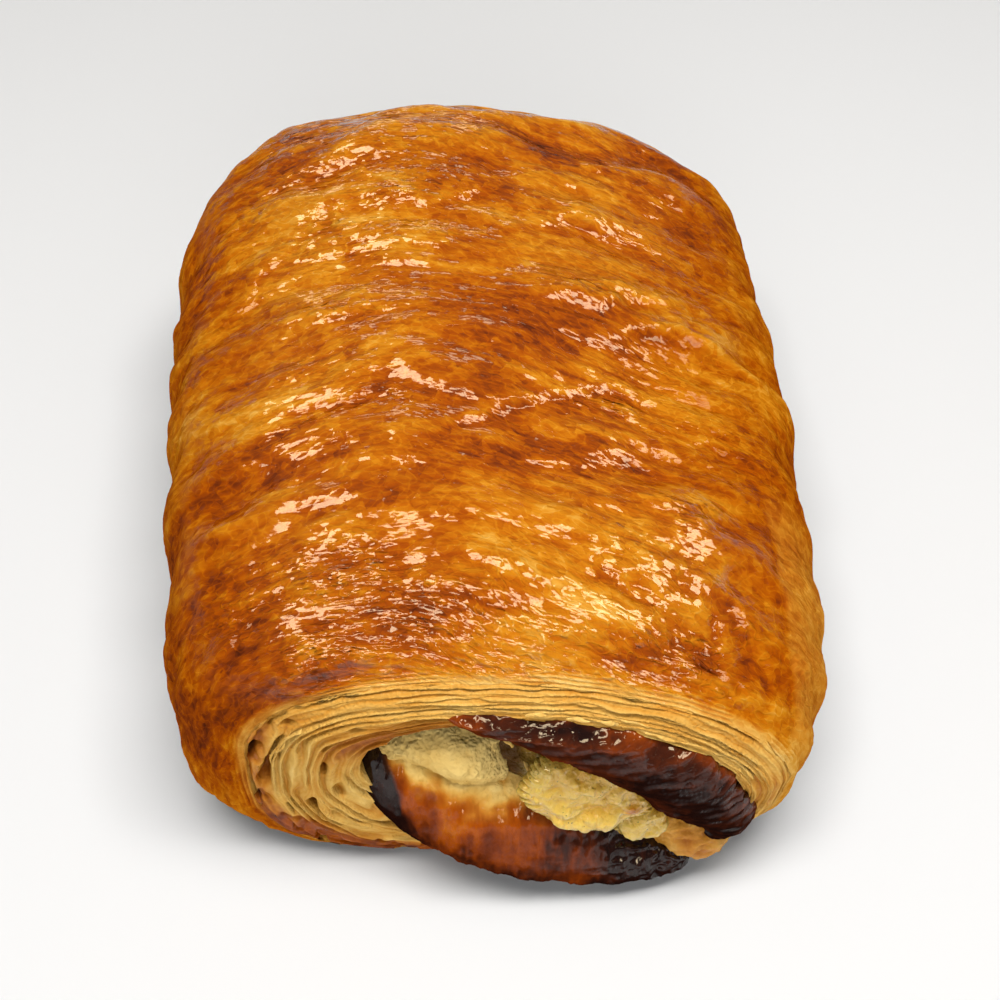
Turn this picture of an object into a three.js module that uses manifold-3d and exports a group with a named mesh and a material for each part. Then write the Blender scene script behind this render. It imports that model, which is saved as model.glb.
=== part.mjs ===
// A rolled breakfast pastry: a sheet of butter dough, laminated and glazed, rolled round a thick band of pale
// durian paste and baked. The roll lies on its seam. Its two cut ends show the edges of the dough's layers, a
// browned inner fold that bulges out of the mouth, and the paste that runs through from end to end.
//
// Millimetres, +Z up. The roll's axis runs along Y, its near end faces -Y, and it rests on the plane z = 0. The
// origin is the middle of the footprint.

import * as THREE from "three";
import { mergeVertices } from "three/addons/utils/BufferGeometryUtils.js";
import Module from "manifold-3d";

// The roll's section: a low dome over a flatter foot, widest at AXIS_Z.
const HALF_WIDTH = 42.9;
const TAPER = 0.0003; // how much wider the roll gets with each millimetre towards the far end
const BARREL = 1.5; // how far each side swells at mid-length
const BARREL_SPAN = 110; // the length over which it does so
const HEIGHT = 50.5;
const AXIS_Z = 24;
const FOOT_SINK = 1.2; // the foot is cut flat at z = 0, this far above its lowest curve
const DOME_POWER_LEFT = 2.3;
const DOME_POWER_RIGHT = 1.85;
const FOOT_POWER = 3.4;
const SHOULDER_POWER = 2.4; // how squarely the crust turns in towards each end
const RIM_TURN = 0.26; // radians: the crust meets the cut end at an edge, and not smoothly
const RIM_RELIEF = 0.35; // the share of the crust's relief that is left at the rim

// Each end: where the crust stops (the rim), how much smaller the rim is than the roll, and the mouth inside it.
const NEAR_END = {
  side: -1,
  rimY: -48.3,
  rimX: 1.6, // the rim lies this far to the side of the roll's middle
  slant: -0.09, // the cut runs off square: y changes by this share of x
  footSlant: -0.02, // the same at its foot
  heel: -1.5, // how far the foot of the cut stands out
  shoulder: 20,
  rimWide: 0.8,
  rimTop: 0.755,
  rimFoot: 0.93,
  mouth: { x: 4.8, z: 22.5, halfWide: 24.5, halfHigh: 14.5, tilt: -0.14 },
  mouthDepth: 7.5,
  layerDepth: 1.3,
  faceBulge: 1.6,
  ridge: { at: 0.75, spread: 0.85, out: 2.2 }, // the scorched inner fold, over the mouth's upper right
};
const FAR_END = {
  side: 1,
  rimY: 52.7,
  rimX: 0,
  slant: -0.05,
  footSlant: 0,
  heel: 1,
  shoulder: 16,
  rimWide: 0.76,
  rimTop: 0.85,
  rimFoot: 0.84,
  mouth: { x: 4, z: 22, halfWide: 20, halfHigh: 12, tilt: -0.1 },
  mouthDepth: 5,
  layerDepth: 1.1,
  faceBulge: 1.4,
  ridge: { at: 1.2, spread: 0.9, out: 1.6 },
};

// The fold that bulges out of each mouth: a fat tongue along a few centres, each [x, y, z, radius].
const NEAR_TONGUE = [
  [-10.5, -39, 21, 11],
  [-3.5, -41.5, 16, 11.8],
  [6.5, -46.4, 9.8, 9.4],
  [15.5, -49.5, 6.8, 6.4],
  [23.5, -50.2, 5.8, 5],
];
const FAR_TONGUE = [
  [-8, 43.9, 16, 7.6],
  [2, 44.7, 13, 8.4],
  [13, 44.1, 13.5, 7],
];

// The paste: a flat band, thin over the tongue on the left and a fat lump on the right.
const PASTE = {
  left: [-3, 25.5],
  right: [12.5, 19.5],
  thinHalf: 4.6,
  fatHalf: 7.6,
  endLeft: 4.2,
  endRight: 6.4,
  nearLeftY: -49.2,
  nearRightY: -53,
  farY: 49.1,
  roundOff: 5, // how far each end takes to round off
  lump: 0.55,
};
const PASTE_GAP = 0.3;

// Low relief of the crust.
const SWELL = 0.75; // broad uneven swelling
const CREASE = 0.34; // shallow creases that run round the roll
const CREASE_PITCH = 10.5;
// Raised blisters and sunk places of the top crust: [x, y, radius across, radius along, height].
const BLISTERS = [
  [-12, -23.1, 15, 7, 0.9],
  [20, -28.1, 14, 7, 0.8],
  [16, 4.9, 15, 8, 0.9],
  [-18, 2.9, 13, 7, 0.7],
  [-12, 38.9, 20, 10, 1.6],
  [2, -8.1, 14, 5, -0.8],
  [-14, 15.9, 15, 5, -0.7],
  [20, 20.9, 12, 6, -0.6],
];

// Mesh fineness.
const AROUND = 60;
const LAYERS = 5; // ridges of dough edge that an end shows in this solid
const MOUTH_ROWS = 4;
const SHOULDER_ROWS = 7;
const BODY_ROWS = 20;

const COLOURS = { dough: 0xc47a28, paste: 0xdcb868 };

const wasm = await Module();
wasm.setup();

const mix = (a, b, t) => a + (b - a) * t;
const bump = (d) => Math.exp(-d * d);
const clamp01 = (t) => Math.min(1, Math.max(0, t));

// An uneven wave of both directions on the roll, about -1 to 1, that closes on itself round the roll.
function unevenness(angle, y, seed) {
  let sum = 0;
  for (let k = 1; k <= 6; k += 1) {
    const turns = 1 + ((k * 3) % 7);
    const along = ((k * 5) % 7) - 3;
    sum += Math.sin(turns * angle + along * 0.045 * y + seed + k * k * 0.7) / Math.sqrt(k);
  }
  return sum / 2.4;
}

// A point of the roll's outline at an angle, with its reach scaled sideways, upwards and downwards.
function outline(angle, y, wide, top, foot) {
  const c = Math.cos(angle);
  const s = Math.sin(angle);
  const dome = c > 0 ? DOME_POWER_RIGHT : DOME_POWER_LEFT;
  const power = s > 0 ? dome : FOOT_POWER;
  const across = Math.sign(c) * Math.abs(c) ** (2 / power);
  const up = Math.sign(s) * Math.abs(s) ** (2 / power);
  const barrel = BARREL * Math.cos((Math.PI * y) / BARREL_SPAN);
  const reach = s > 0 ? (HEIGHT - AXIS_Z) * top : (AXIS_Z + FOOT_SINK) * foot;
  const taper = 1 + TAPER * y;
  return [across * (HALF_WIDTH + barrel) * wide * taper, AXIS_Z + up * reach];
}

// How far the crust stands proud of the plain outline.
function crustRelief(angle, y, x) {
  const broad = SWELL * unevenness(angle, y, 0.4);
  const wander = 3.2 * Math.sin(2 * angle + 0.6) + 1.6 * Math.sin(5 * angle + 0.03 * y);
  const crease = CREASE * (Math.abs(Math.sin((Math.PI * (y + wander)) / CREASE_PITCH)) - 0.6);
  const domed = clamp01(Math.sin(angle) * 2);
  let blister = 0;
  for (const [bx, by, across, along, height] of BLISTERS) {
    blister += height * bump(Math.hypot((x - bx) / across, (y - by) / along));
  }
  return broad + crease + domed * blister;
}

// How far the cut at an end runs off square at a place on it.
function cutSkew(end, x, z) {
  const low = clamp01((AXIS_Z - z) / AXIS_Z);
  return mix(end.slant, end.footSlant, low) * x + end.side * end.heel * low;
}

// One ring of the crust. turn runs from 0 at the end's rim to 1 where the shoulder has reached full size.
function crustRing(end, turn) {
  const phi = mix(RIM_TURN, Math.PI / 2, turn);
  const rise = (angle) => Math.sin(angle) ** (2 / SHOULDER_POWER);
  const fall = (angle) => Math.cos(angle) ** (2 / SHOULDER_POWER);
  const grown = 1 - (1 - rise(phi)) / (1 - rise(RIM_TURN));
  const inwards = end.shoulder * (1 - fall(phi) / fall(RIM_TURN));
  const wide = mix(end.rimWide, 1, grown);
  const top = mix(end.rimTop, 1, grown);
  const foot = mix(end.rimFoot, 1, grown);
  const y = end.rimY - end.side * inwards;
  return ringOf((angle) => {
    const [x, z] = outline(angle, y, wide, top, foot);
    const skew = cutSkew(end, x, z) * (1 - grown);
    const out = crustRelief(angle, y, x) * mix(RIM_RELIEF, 1, grown);
    return [x + out * Math.cos(angle) + end.rimX * (1 - grown), y + skew, z + out * Math.sin(angle)];
  });
}

function bodyRing(y) {
  return ringOf((angle) => {
    const [x, z] = outline(angle, y, 1, 1, 1);
    const out = crustRelief(angle, y, x);
    return [x + out * Math.cos(angle), y, z + out * Math.sin(angle)];
  });
}

function ringOf(point) {
  return Array.from({ length: AROUND }, (_, i) => point((i / AROUND) * 2 * Math.PI));
}

function mouthPoint(mouth, angle, size) {
  const a = Math.cos(angle) * mouth.halfWide * size;
  const b = Math.sin(angle) * mouth.halfHigh * size;
  const c = Math.cos(mouth.tilt);
  const s = Math.sin(mouth.tilt);
  return [mouth.x + a * c - b * s, mouth.z + a * s + b * c];
}

// Rings across the cut end, from the rim to the mouth's edge: the layers' edges, as ridges and grooves.
function layerRings(end) {
  const rows = LAYERS * 2;
  return Array.from({ length: rows }, (_, i) => {
    const share = (i + 1) / rows;
    return ringOf((angle) => {
      const [rx, rz] = outline(angle, end.rimY, end.rimWide, end.rimTop, end.rimFoot);
      const [mx, mz] = mouthPoint(end.mouth, angle, 1);
      const frayed = 0.75 + 0.35 * Math.sin(4 * angle + i * 1.9) * Math.sin(7 * angle + i);
      const ridge = (i % 2 ? 0.5 : -0.5) * end.layerDepth * frayed;
      const bulge = end.faceBulge * Math.sin(share * Math.PI * 0.8);
      const around = angle - end.ridge.at;
      const turned = Math.atan2(Math.sin(around), Math.cos(around));
      const scorched = end.ridge.out * bump(turned / end.ridge.spread) * bump((share - 0.92) / 0.2);
      const x = mix(rx + end.rimX, mx, share);
      const z = mix(rz, mz, share);
      return [x, end.rimY + cutSkew(end, x, z) + end.side * (ridge + bulge + scorched), z];
    });
  });
}

// Rings that go in from the mouth's edge and close on its middle.
function mouthRings(end) {
  return Array.from({ length: MOUTH_ROWS }, (_, i) => {
    const share = (i + 1) / MOUTH_ROWS;
    const size = 1 - 0.22 * share - 0.6 * share ** 4;
    const depth = end.mouthDepth * Math.sin((share * Math.PI) / 2);
    return ringOf((angle) => {
      const [x, z] = mouthPoint(end.mouth, angle, size);
      return [x, end.rimY + cutSkew(end, x, z) - end.side * depth, z];
    });
  });
}

// A closed mesh through rings of equal count, closed at both ends by a fan about each end ring's middle.
function solidThrough(rings, flip) {
  const around = rings[0].length;
  const points = rings.flat().map(([x, y, z]) => [x, y, Math.max(z, 0)]);
  const faces = [];
  const face = (a, b, c) => faces.push(...(flip ? [a, c, b] : [a, b, c]));
  for (let r = 0; r + 1 < rings.length; r += 1) {
    for (let i = 0; i < around; i += 1) {
      const j = (i + 1) % around;
      const [a, b, c, d] = [r * around + i, r * around + j, (r + 1) * around + j, (r + 1) * around + i];
      face(a, b, c);
      face(a, c, d);
    }
  }
  const cap = (start, outwards) => {
    const middle = [0, 1, 2].map((k) => {
      let sum = 0;
      for (let i = 0; i < around; i += 1) sum += points[start + i][k];
      return sum / around;
    });
    points.push(middle);
    for (let i = 0; i < around; i += 1) {
      const [a, b] = [start + i, start + ((i + 1) % around)];
      if (outwards) face(points.length - 1, a, b);
      else face(points.length - 1, b, a);
    }
  };
  cap(0, false);
  cap((rings.length - 1) * around, true);
  return asSolid(points.flat(), faces);
}

function asSolid(positions, faces) {
  const geometry = new THREE.BufferGeometry();
  geometry.setAttribute("position", new THREE.Float32BufferAttribute(positions, 3));
  geometry.setIndex(faces);
  const merged = mergeVertices(geometry, 1e-4);
  return new wasm.Manifold(
    new wasm.Mesh({
      numProp: 3,
      vertProperties: merged.attributes.position.array,
      triVerts: new Uint32Array(merged.index.array),
    }),
  );
}

// The roll without its tongues: near mouth, near layers, crust, far layers, far mouth.
function rollSolid() {
  const nearFull = NEAR_END.rimY + NEAR_END.shoulder;
  const farFull = FAR_END.rimY - FAR_END.shoulder;
  const shoulder = Array.from({ length: SHOULDER_ROWS }, (_, i) => i / (SHOULDER_ROWS - 1));
  const rings = [
    ...mouthRings(NEAR_END).reverse(),
    ...layerRings(NEAR_END).reverse(),
    ...shoulder.map((t) => crustRing(NEAR_END, t)),
    ...Array.from({ length: BODY_ROWS }, (_, i) => bodyRing(mix(nearFull, farFull, (i + 1) / (BODY_ROWS + 1)))),
    ...shoulder.reverse().map((t) => crustRing(FAR_END, t)),
    ...layerRings(FAR_END),
    ...mouthRings(FAR_END),
  ];
  return solidThrough(rings, true);
}

// A fat tongue along centres [x, y, z, radius], with round ends and an uneven skin.
function tongueSolid(centres) {
  const path = new THREE.CatmullRomCurve3(centres.map(([x, y, z]) => new THREE.Vector3(x, y, z)));
  const radii = new THREE.CatmullRomCurve3(centres.map((c, i) => new THREE.Vector3(c[3], i, 0)));
  const rows = 16;
  const around = 20;
  const rings = [];
  for (let r = 0; r <= rows; r += 1) {
    const lean = Math.PI * mix(0.06, 0.94, r / rows); // near 0 and near pi, the round ends
    const t = clamp01((1 - Math.cos(lean)) / 2);
    const middle = path.getPoint(t);
    const ahead = path.getTangent(t);
    const side = new THREE.Vector3(0, 0, 1).cross(ahead).normalize();
    const over = ahead.clone().cross(side);
    const girth = radii.getPoint(t).x * Math.sin(lean) ** 0.55;
    const reach = -0.8 * radii.getPoint(t).x * Math.cos(lean) ** 3;
    rings.push(
      Array.from({ length: around }, (_, i) => {
        const a = (i / around) * 2 * Math.PI;
        const radius = girth * (1 + 0.035 * Math.sin(3 * a + r) + 0.02 * Math.sin(5 * a - 2 * r));
        const p = middle.clone().addScaledVector(ahead, reach);
        p.addScaledVector(side, radius * Math.cos(a)).addScaledVector(over, radius * Math.sin(a));
        return [p.x, p.y, p.z];
      }),
    );
  }
  return solidThrough(rings, false);
}

// The paste, or the room it needs when grown by a gap.
function pasteSolid(gap) {
  const around = 26;
  const middleRows = 12;
  const endRows = 6;
  const endTurns = Array.from({ length: endRows }, (_, i) => ((i + 0.6) / endRows) * (Math.PI / 2));
  const half = (PASTE.right[0] - PASTE.left[0]) / 2;
  // phi is 0 at an end's tip and a quarter turn where the band has its full section.
  const ring = (phi, inwards, fromNear) =>
    Array.from({ length: around }, (_, i) => {
      const angle = (i / around) * 2 * Math.PI;
      const share = (Math.cos(angle) + 1) / 2;
      const nearY = mix(PASTE.nearLeftY, PASTE.nearRightY, share) + inwards;
      const baseY = fromNear ? nearY : PASTE.farY - inwards;
      const lump = PASTE.lump * unevenness(angle * 2, baseY * 2.2, 2.1);
      const fat = mix(PASTE.thinHalf, PASTE.fatHalf, share ** 1.3) + lump;
      const long = half + mix(PASTE.endLeft, PASTE.endRight, share) + lump;
      const across = Math.cos(angle) * long * mix(0.35, 1, Math.sin(phi));
      const up = Math.sin(angle) * fat * Math.sin(phi);
      const normal = new THREE.Vector3(Math.cos(angle) / long, 0, Math.sin(angle) / fat).normalize();
      return [
        mix(PASTE.left[0], PASTE.right[0], 0.5) + across + gap * normal.x,
        baseY + (fromNear ? -gap : gap) * Math.cos(phi),
        mix(PASTE.left[1], PASTE.right[1], share) + up + gap * normal.z,
      ];
    });
  const span = PASTE.farY - PASTE.nearLeftY;
  const rings = [
    ...endTurns.map((phi) => ring(phi, PASTE.roundOff * (1 - Math.cos(phi)), true)),
    ...Array.from({ length: middleRows }, (_, i) => {
      return ring(Math.PI / 2, mix(PASTE.roundOff, span - PASTE.roundOff, (i + 0.7) / middleRows), true);
    }),
    ...endTurns.reverse().map((phi) => ring(phi, PASTE.roundOff * (1 - Math.cos(phi)), false)),
  ];
  return solidThrough(rings, true);
}

// A named mesh from the largest body of a solid.
function meshOf(name, solid, colour, roughness) {
  const largest = solid.decompose().reduce((a, b) => (b.volume() > a.volume() ? b : a));
  const { vertProperties, triVerts } = largest.getMesh();
  const geometry = new THREE.BufferGeometry();
  geometry.setAttribute("position", new THREE.BufferAttribute(vertProperties, 3));
  geometry.setIndex(new THREE.BufferAttribute(triVerts, 1));
  const mesh = new THREE.Mesh(geometry, new THREE.MeshStandardMaterial({ color: colour, roughness, metalness: 0 }));
  mesh.name = name;
  return mesh;
}

const dough = rollSolid()
  .add(tongueSolid(NEAR_TONGUE))
  .add(tongueSolid(FAR_TONGUE))
  .subtract(pasteSolid(PASTE_GAP));

const pastry = new THREE.Group();
pastry.add(meshOf("dough", dough, COLOURS.dough, 0.35));
pastry.add(meshOf("durian_paste", pasteSolid(0), COLOURS.paste, 0.6));

export default pastry;
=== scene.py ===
"""A rolled laminated pastry with durian paste in it: the looks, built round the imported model.

Shapes are worked out in millimetres, +Z up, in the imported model's own frame: the roll's axis runs along Y, its
near end faces -Y and it lies on z = 0. Meshes and lights are made in metres. The surfaces are grids of points.
Relief and browning are worked out for every point from repeatable noise, and the materials read the browning.
"""

import math

import bmesh
import bpy
import numpy as np
from mathutils import Matrix, Vector


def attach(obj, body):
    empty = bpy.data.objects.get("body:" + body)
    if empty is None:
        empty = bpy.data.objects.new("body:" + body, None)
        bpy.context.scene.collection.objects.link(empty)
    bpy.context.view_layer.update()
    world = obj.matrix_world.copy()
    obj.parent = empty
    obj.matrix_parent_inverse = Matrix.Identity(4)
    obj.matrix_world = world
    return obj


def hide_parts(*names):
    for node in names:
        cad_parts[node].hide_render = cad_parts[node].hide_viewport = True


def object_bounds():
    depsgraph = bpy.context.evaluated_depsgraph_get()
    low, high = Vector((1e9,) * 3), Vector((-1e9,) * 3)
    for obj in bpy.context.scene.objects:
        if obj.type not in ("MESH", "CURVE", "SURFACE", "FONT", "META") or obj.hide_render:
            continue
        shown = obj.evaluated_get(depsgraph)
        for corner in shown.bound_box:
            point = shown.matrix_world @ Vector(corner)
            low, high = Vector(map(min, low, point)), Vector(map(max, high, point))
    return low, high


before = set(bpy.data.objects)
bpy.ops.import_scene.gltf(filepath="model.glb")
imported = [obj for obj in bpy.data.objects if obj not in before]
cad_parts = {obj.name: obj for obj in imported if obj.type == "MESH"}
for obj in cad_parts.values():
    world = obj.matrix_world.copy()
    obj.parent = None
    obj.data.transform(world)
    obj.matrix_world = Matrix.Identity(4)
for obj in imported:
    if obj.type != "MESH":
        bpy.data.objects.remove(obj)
cad_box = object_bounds()

MM = 0.001
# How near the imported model's box a place starts to be drawn in, so that no relief stands out of the box.
BOX_MARGIN = 1.0

# How finely the pieces are divided: rings along them, and columns round them or along the cut ends' rims.
CRUST_COLUMNS = 316
NEAR_SHOULDER_RINGS = 72
BODY_RINGS = 154
FAR_SHOULDER_RINGS = 50
NEAR_FACE_GRID = (120, 560)
FAR_FACE_GRID = (70, 400)
TONGUE_GRID = (230, 176)
CRUMB_GRID = (150, 170)
INNER_GRID = (90, 80)
FOLD_GRID = (280, 80)
STRAND_RINGS = 240
PASTE_CAP_RINGS = 54
PASTE_BODY_RINGS = 62
PASTE_COLUMNS = 410

# The roll's section: a low dome over a flatter foot, widest at AXIS_Z.
HALF_WIDTH = 42.9
BARREL = 1.5
BARREL_SPAN = 110
TAPER = 0.0003
HEIGHT = 50.5
AXIS_Z = 24
FOOT_SINK = 1.2
DOME_POWER_LEFT = 2.3
DOME_POWER_RIGHT = 1.85
FOOT_POWER = 3.4
SHOULDER_POWER = 2.4
RIM_TURN = 0.26
RIM_RELIEF = 0.35

NEAR_END = dict(
    name="near", side=-1, rimY=-48.3, rimX=1.6, slant=-0.09, footSlant=-0.02, heel=-1.5, shoulder=20,
    rimWide=0.8, rimTop=0.755, rimFoot=0.93, faceBulge=1.6,
    mouth=dict(x=4.8, z=22.5, halfWide=24.5, halfHigh=14.5, tilt=-0.14), mouthDepth=9, crumbTop=26,
)
FAR_END = dict(
    name="far", side=1, rimY=52.7, rimX=0, slant=-0.05, footSlant=0, heel=1, shoulder=16,
    rimWide=0.76, rimTop=0.85, rimFoot=0.84, faceBulge=1.4,
    mouth=dict(x=4, z=22, halfWide=20, halfHigh=12, tilt=-0.1), mouthDepth=7, crumbTop=25,
)

# How far the crust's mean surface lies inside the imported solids', whose box holds the crust's highest places.
INSET = 0.25
# Low relief of the crust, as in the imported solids.
SWELL = 0.75
CREASE = 0.34
CREASE_PITCH = 10.5
# Raised blisters and sunk places of the top crust: x, y, radius across, radius along, height.
BLISTERS = [
    (-12, -23.1, 15, 7, 0.9),
    (20, -28.1, 14, 7, 0.8),
    (16, 4.9, 15, 8, 0.9),
    (-18, 2.9, 13, 7, 0.7),
    (-12, 38.9, 20, 10, 1.6),
    (2, -8.1, 14, 5, -0.8),
    (-14, 15.9, 15, 5, -0.7),
    (20, 21.1, 12, 6, -0.6),
]

# Folds of the top crust: the places x, y that each runs through, and its height. The side to -Y is steep.
FOLDS = [
    ([(-32, -5.6), (-24, -7.5), (-18, -7.4), (-14.7, -5.7)], 0.75),
    ([(-10.5, -3.6), (-6, -4.6), (-1.4, -4.7), (3, -5.8)], 0.45),
    ([(-10.7, -14.7), (-6.7, -15.9), (-2.9, -12.8), (1, -11.2),
      (8.5, -7.7), (14.6, -6.2), (20.2, -6.7)], 0.85),
    ([(-26.7, 9.1), (-20.9, 7.3), (-15.6, 8.2)], 0.6),
    ([(-12.5, 0.6), (-8.9, -1.6), (-5.8, -4.2)], 0.4),
    ([(-0.6, -37.2), (3.6, -36.6), (7.2, -38.4)], 0.5),
    ([(-31.5, 18.9), (-28.3, 22.4), (-22.8, 26.1)], 0.45),
    ([(-22.7, 25.8), (-18.7, 25.1), (-13.1, 24.3)], 0.5),
    ([(-14.3, 33.6), (-10.1, 29.6), (-4.9, 26.8), (-0.1, 28.7)], 0.9),
    ([(0.6, 19.4), (5.5, 22.2), (11.5, 23.9), (14.3, 25), (17.9, 22.7)], 0.6),
    ([(6.7, 8.7), (12.9, 8), (15.6, 6.7), (19.4, 9.9), (25.4, 10.3)], 0.8),
    ([(18, 3.2), (23, 4), (27.5, 6.2)], 0.6),
    ([(27, 5.2), (31.3, 4.4), (37, 2)], 0.7),
    ([(-28, -23.8), (-23.2, -22.8), (-18, -23.3)], 0.5),
    ([(23, -25.3), (26.9, -23.5), (29.4, -25), (33, -27.5)], 0.6),
    ([(15, -37), (19.3, -37), (21.4, -35.9), (27, -36.4)], 0.55),
    ([(-24.5, -31), (-18.9, -34.3), (-13, -33.8)], 0.5),
    ([(-43.7, -0.8), (-37.9, -5.3), (-33.5, -6)], 0.4),
    ([(8.8, -15.9), (15.1, -16.9), (21, -19.4)], 0.4),
    ([(-18, -19.8), (-11.3, -18.3), (-4.5, -21.6)], 0.45),
    ([(15, -46), (21.1, -43.2), (24.5, -44.7)], 0.5),
    ([(-9, -38.8), (-3.7, -40.6), (0.6, -39.6)], 0.4),
    ([(5, -44.4), (11.2, -45.5), (17, -44.3)], 0.35),
    ([(-14, 14), (-4, 12.6), (4, 14)], 0.4),
    ([(-36, 30), (-28, 36), (-18, 38)], 0.4),
    ([(10, 36), (20, 37), (30, 33)], 0.45),
]

# Crumpled shells of glaze: x, y, radius across, radius along, how far they rise.
SHELLS = [
    (-7.2, 30.5, 7, 3.6, 0.5),
    (-18.3, -32.4, 6.5, 4.5, 0.4),
    (-18.1, 8.4, 4.5, 1.8, 0.2),
    (15.8, 9.6, 5, 2.2, 0.3),
    (23.1, 5.6, 4, 1.6, 0.2),
    (-13.5, -7.8, 5, 2.2, 0.2),
    (20.5, -44.6, 6, 2.6, 0.3),
    (-6.1, -41, 6.5, 3, 0.3),
    (-22.2, -44, 5, 3.5, 0.3),
    (15, 25.8, 3.5, 1.6, 0.2),
    (24.4, -25.4, 4.5, 2.0, 0.2),
    (-20.1, 25, 5, 1.8, 0.2),
    (15, -10, 5, 2, 0.2),
]

# Browner and paler places of the crust: x, y, radius across, radius along, how much browner.
STAINS = [
    (15.5, 4, 12, 5, 0.16),
    (-11, -9, 9, 4, 0.16),
    (2, -20, 15, 4, 0.12),
    (14, -19, 9, 4, 0.10),
    (-32, -16, 13, 5, 0.14),
    (-8, -41, 7, 3, 0.20),
    (-22.5, -44, 6, 5, 0.26),
    (-33, -44, 5, 7, 0.24),
    (27.5, -27, 6, 4, 0.10),
    (30, 40, 9, 8, 0.12),
    (-38, -30, 6, 16, 0.12),
    (-30, 16, 10, 9, -0.10),
    (28.5, -5, 9, 9, -0.10),
    (29, -23, 6, 3, -0.08),
    (7, -40, 10, 4, -0.08),
    (38, -37, 6, 10, -0.06),
]


def mix(a, b, t):
    return a + (b - a) * t


def bump(d):
    return np.exp(-d * d)


def clamp01(t):
    return np.clip(t, 0, 1)


def smooth(low, high, value):
    """0 below low, 1 above high and an even turn between them."""
    t = clamp01((value - low) / (high - low))
    return t * t * (3 - 2 * t)


# ---------------------------------------------------------------- repeatable noise


def lattice(x, y, z, seed):
    """A repeatable random number from 0 to 1 for each whole-number place."""
    h = x.astype(np.uint32) * np.uint32(73856093)
    h ^= y.astype(np.uint32) * np.uint32(19349663)
    h ^= z.astype(np.uint32) * np.uint32(83492791)
    h ^= np.uint32((seed * 2654435761) % 2**32)
    h ^= h >> np.uint32(15)
    h *= np.uint32(2246822519)
    h ^= h >> np.uint32(13)
    h *= np.uint32(3266489917)
    h ^= h >> np.uint32(16)
    return h / 2.0**32


def noise(p, size, seed):
    """Smooth noise from -1 to 1 at places p, in features of that size: one number, or one for each axis."""
    q = p / np.asarray(size, float)
    cell = np.floor(q).astype(np.int64)
    f = q - cell
    f = f * f * f * (f * (f * 6 - 15) + 10)
    total = 0.0
    for dx in (0, 1):
        for dy in (0, 1):
            for dz in (0, 1):
                corner = np.array([dx, dy, dz])
                weight = np.abs(1 - corner - f).prod(-1)
                x, y, z = np.moveaxis(cell + corner, -1, 0)
                total = total + weight * lattice(x, y, z, seed)
    return total * 2 - 1


def noise3(p, size, seed):
    """Smooth noise of its own for each of the three axes."""
    return np.stack([noise(p, size, seed + k) for k in range(3)], axis=-1)


def layered(form, p, size, seed, octaves, seed_step, shrink):
    """The mean of a form of the noise in several sizes, each half as strong as the one before."""
    size = np.asarray(size, float)
    total, weight, share = 0.0, 0.0, 1.0
    for k in range(octaves):
        total = total + share * form(noise(p, size, seed + seed_step * k))
        weight += share
        share *= 0.5
        size = size / shrink
    return total / weight


def rough(p, size, seed, octaves=3):
    """Noise of several sizes added up, about -1 to 1."""
    return layered(lambda v: v, p, size, seed, octaves, 17, 2.03) * 1.5


def ridged(p, size, seed, octaves=2):
    """Sharp ridges with round valleys between them, -1 to 1."""
    return np.clip(layered(lambda v: 1 - np.abs(v) * 2.2, p, size, seed, octaves, 31, 2.1), -1, 1)


def billow(p, size, seed, octaves=2):
    """Round lumps with sharp creases between them, 0 to 1."""
    return np.clip(layered(lambda v: np.abs(v) * 2.0, p, size, seed, octaves, 31, 2.1), 0, 1)


# ---------------------------------------------------------------- the roll's own form


def unevenness(angle, y, seed):
    total = 0.0
    for k in range(1, 7):
        turns = 1 + (k * 3) % 7
        along = (k * 5) % 7 - 3
        total = total + np.sin(turns * angle + along * 0.045 * y + seed + k * k * 0.7) / math.sqrt(k)
    return total / 2.4


def outline(angle, y, wide, top, foot):
    """x and z of the roll's outline at an angle, with its reach scaled sideways, upwards and downwards."""
    c, s = np.cos(angle), np.sin(angle)
    dome = np.where(c > 0, DOME_POWER_RIGHT, DOME_POWER_LEFT)
    power = np.where(s > 0, dome, FOOT_POWER)
    across = np.sign(c) * np.abs(c) ** (2 / power)
    up = np.sign(s) * np.abs(s) ** (2 / power)
    barrel = BARREL * np.cos(np.pi * y / BARREL_SPAN)
    reach = np.where(s > 0, (HEIGHT - AXIS_Z) * top, (AXIS_Z + FOOT_SINK) * foot)
    return across * (HALF_WIDTH + barrel) * wide * (1 + TAPER * y), AXIS_Z + up * reach


def crust_relief(angle, y, x):
    broad = SWELL * unevenness(angle, y, 0.4)
    wander = 3.2 * np.sin(2 * angle + 0.6) + 1.6 * np.sin(5 * angle + 0.03 * y)
    crease = CREASE * (np.abs(np.sin(np.pi * (y + wander) / CREASE_PITCH)) - 0.6)
    domed = clamp01(np.sin(angle) * 2)
    blister = 0.0
    for bx, by, across, along, height in BLISTERS:
        blister = blister + height * bump(np.hypot((x - bx) / across, (y - by) / along))
    return broad + crease + domed * blister


def cut_skew(end, x, z):
    low = clamp01((AXIS_Z - z) / AXIS_Z)
    return mix(end["slant"], end["footSlant"], low) * x + end["side"] * end["heel"] * low


def rise(phi):
    return np.sin(phi) ** (2 / SHOULDER_POWER)


def fall(phi):
    return np.cos(phi) ** (2 / SHOULDER_POWER)


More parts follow.
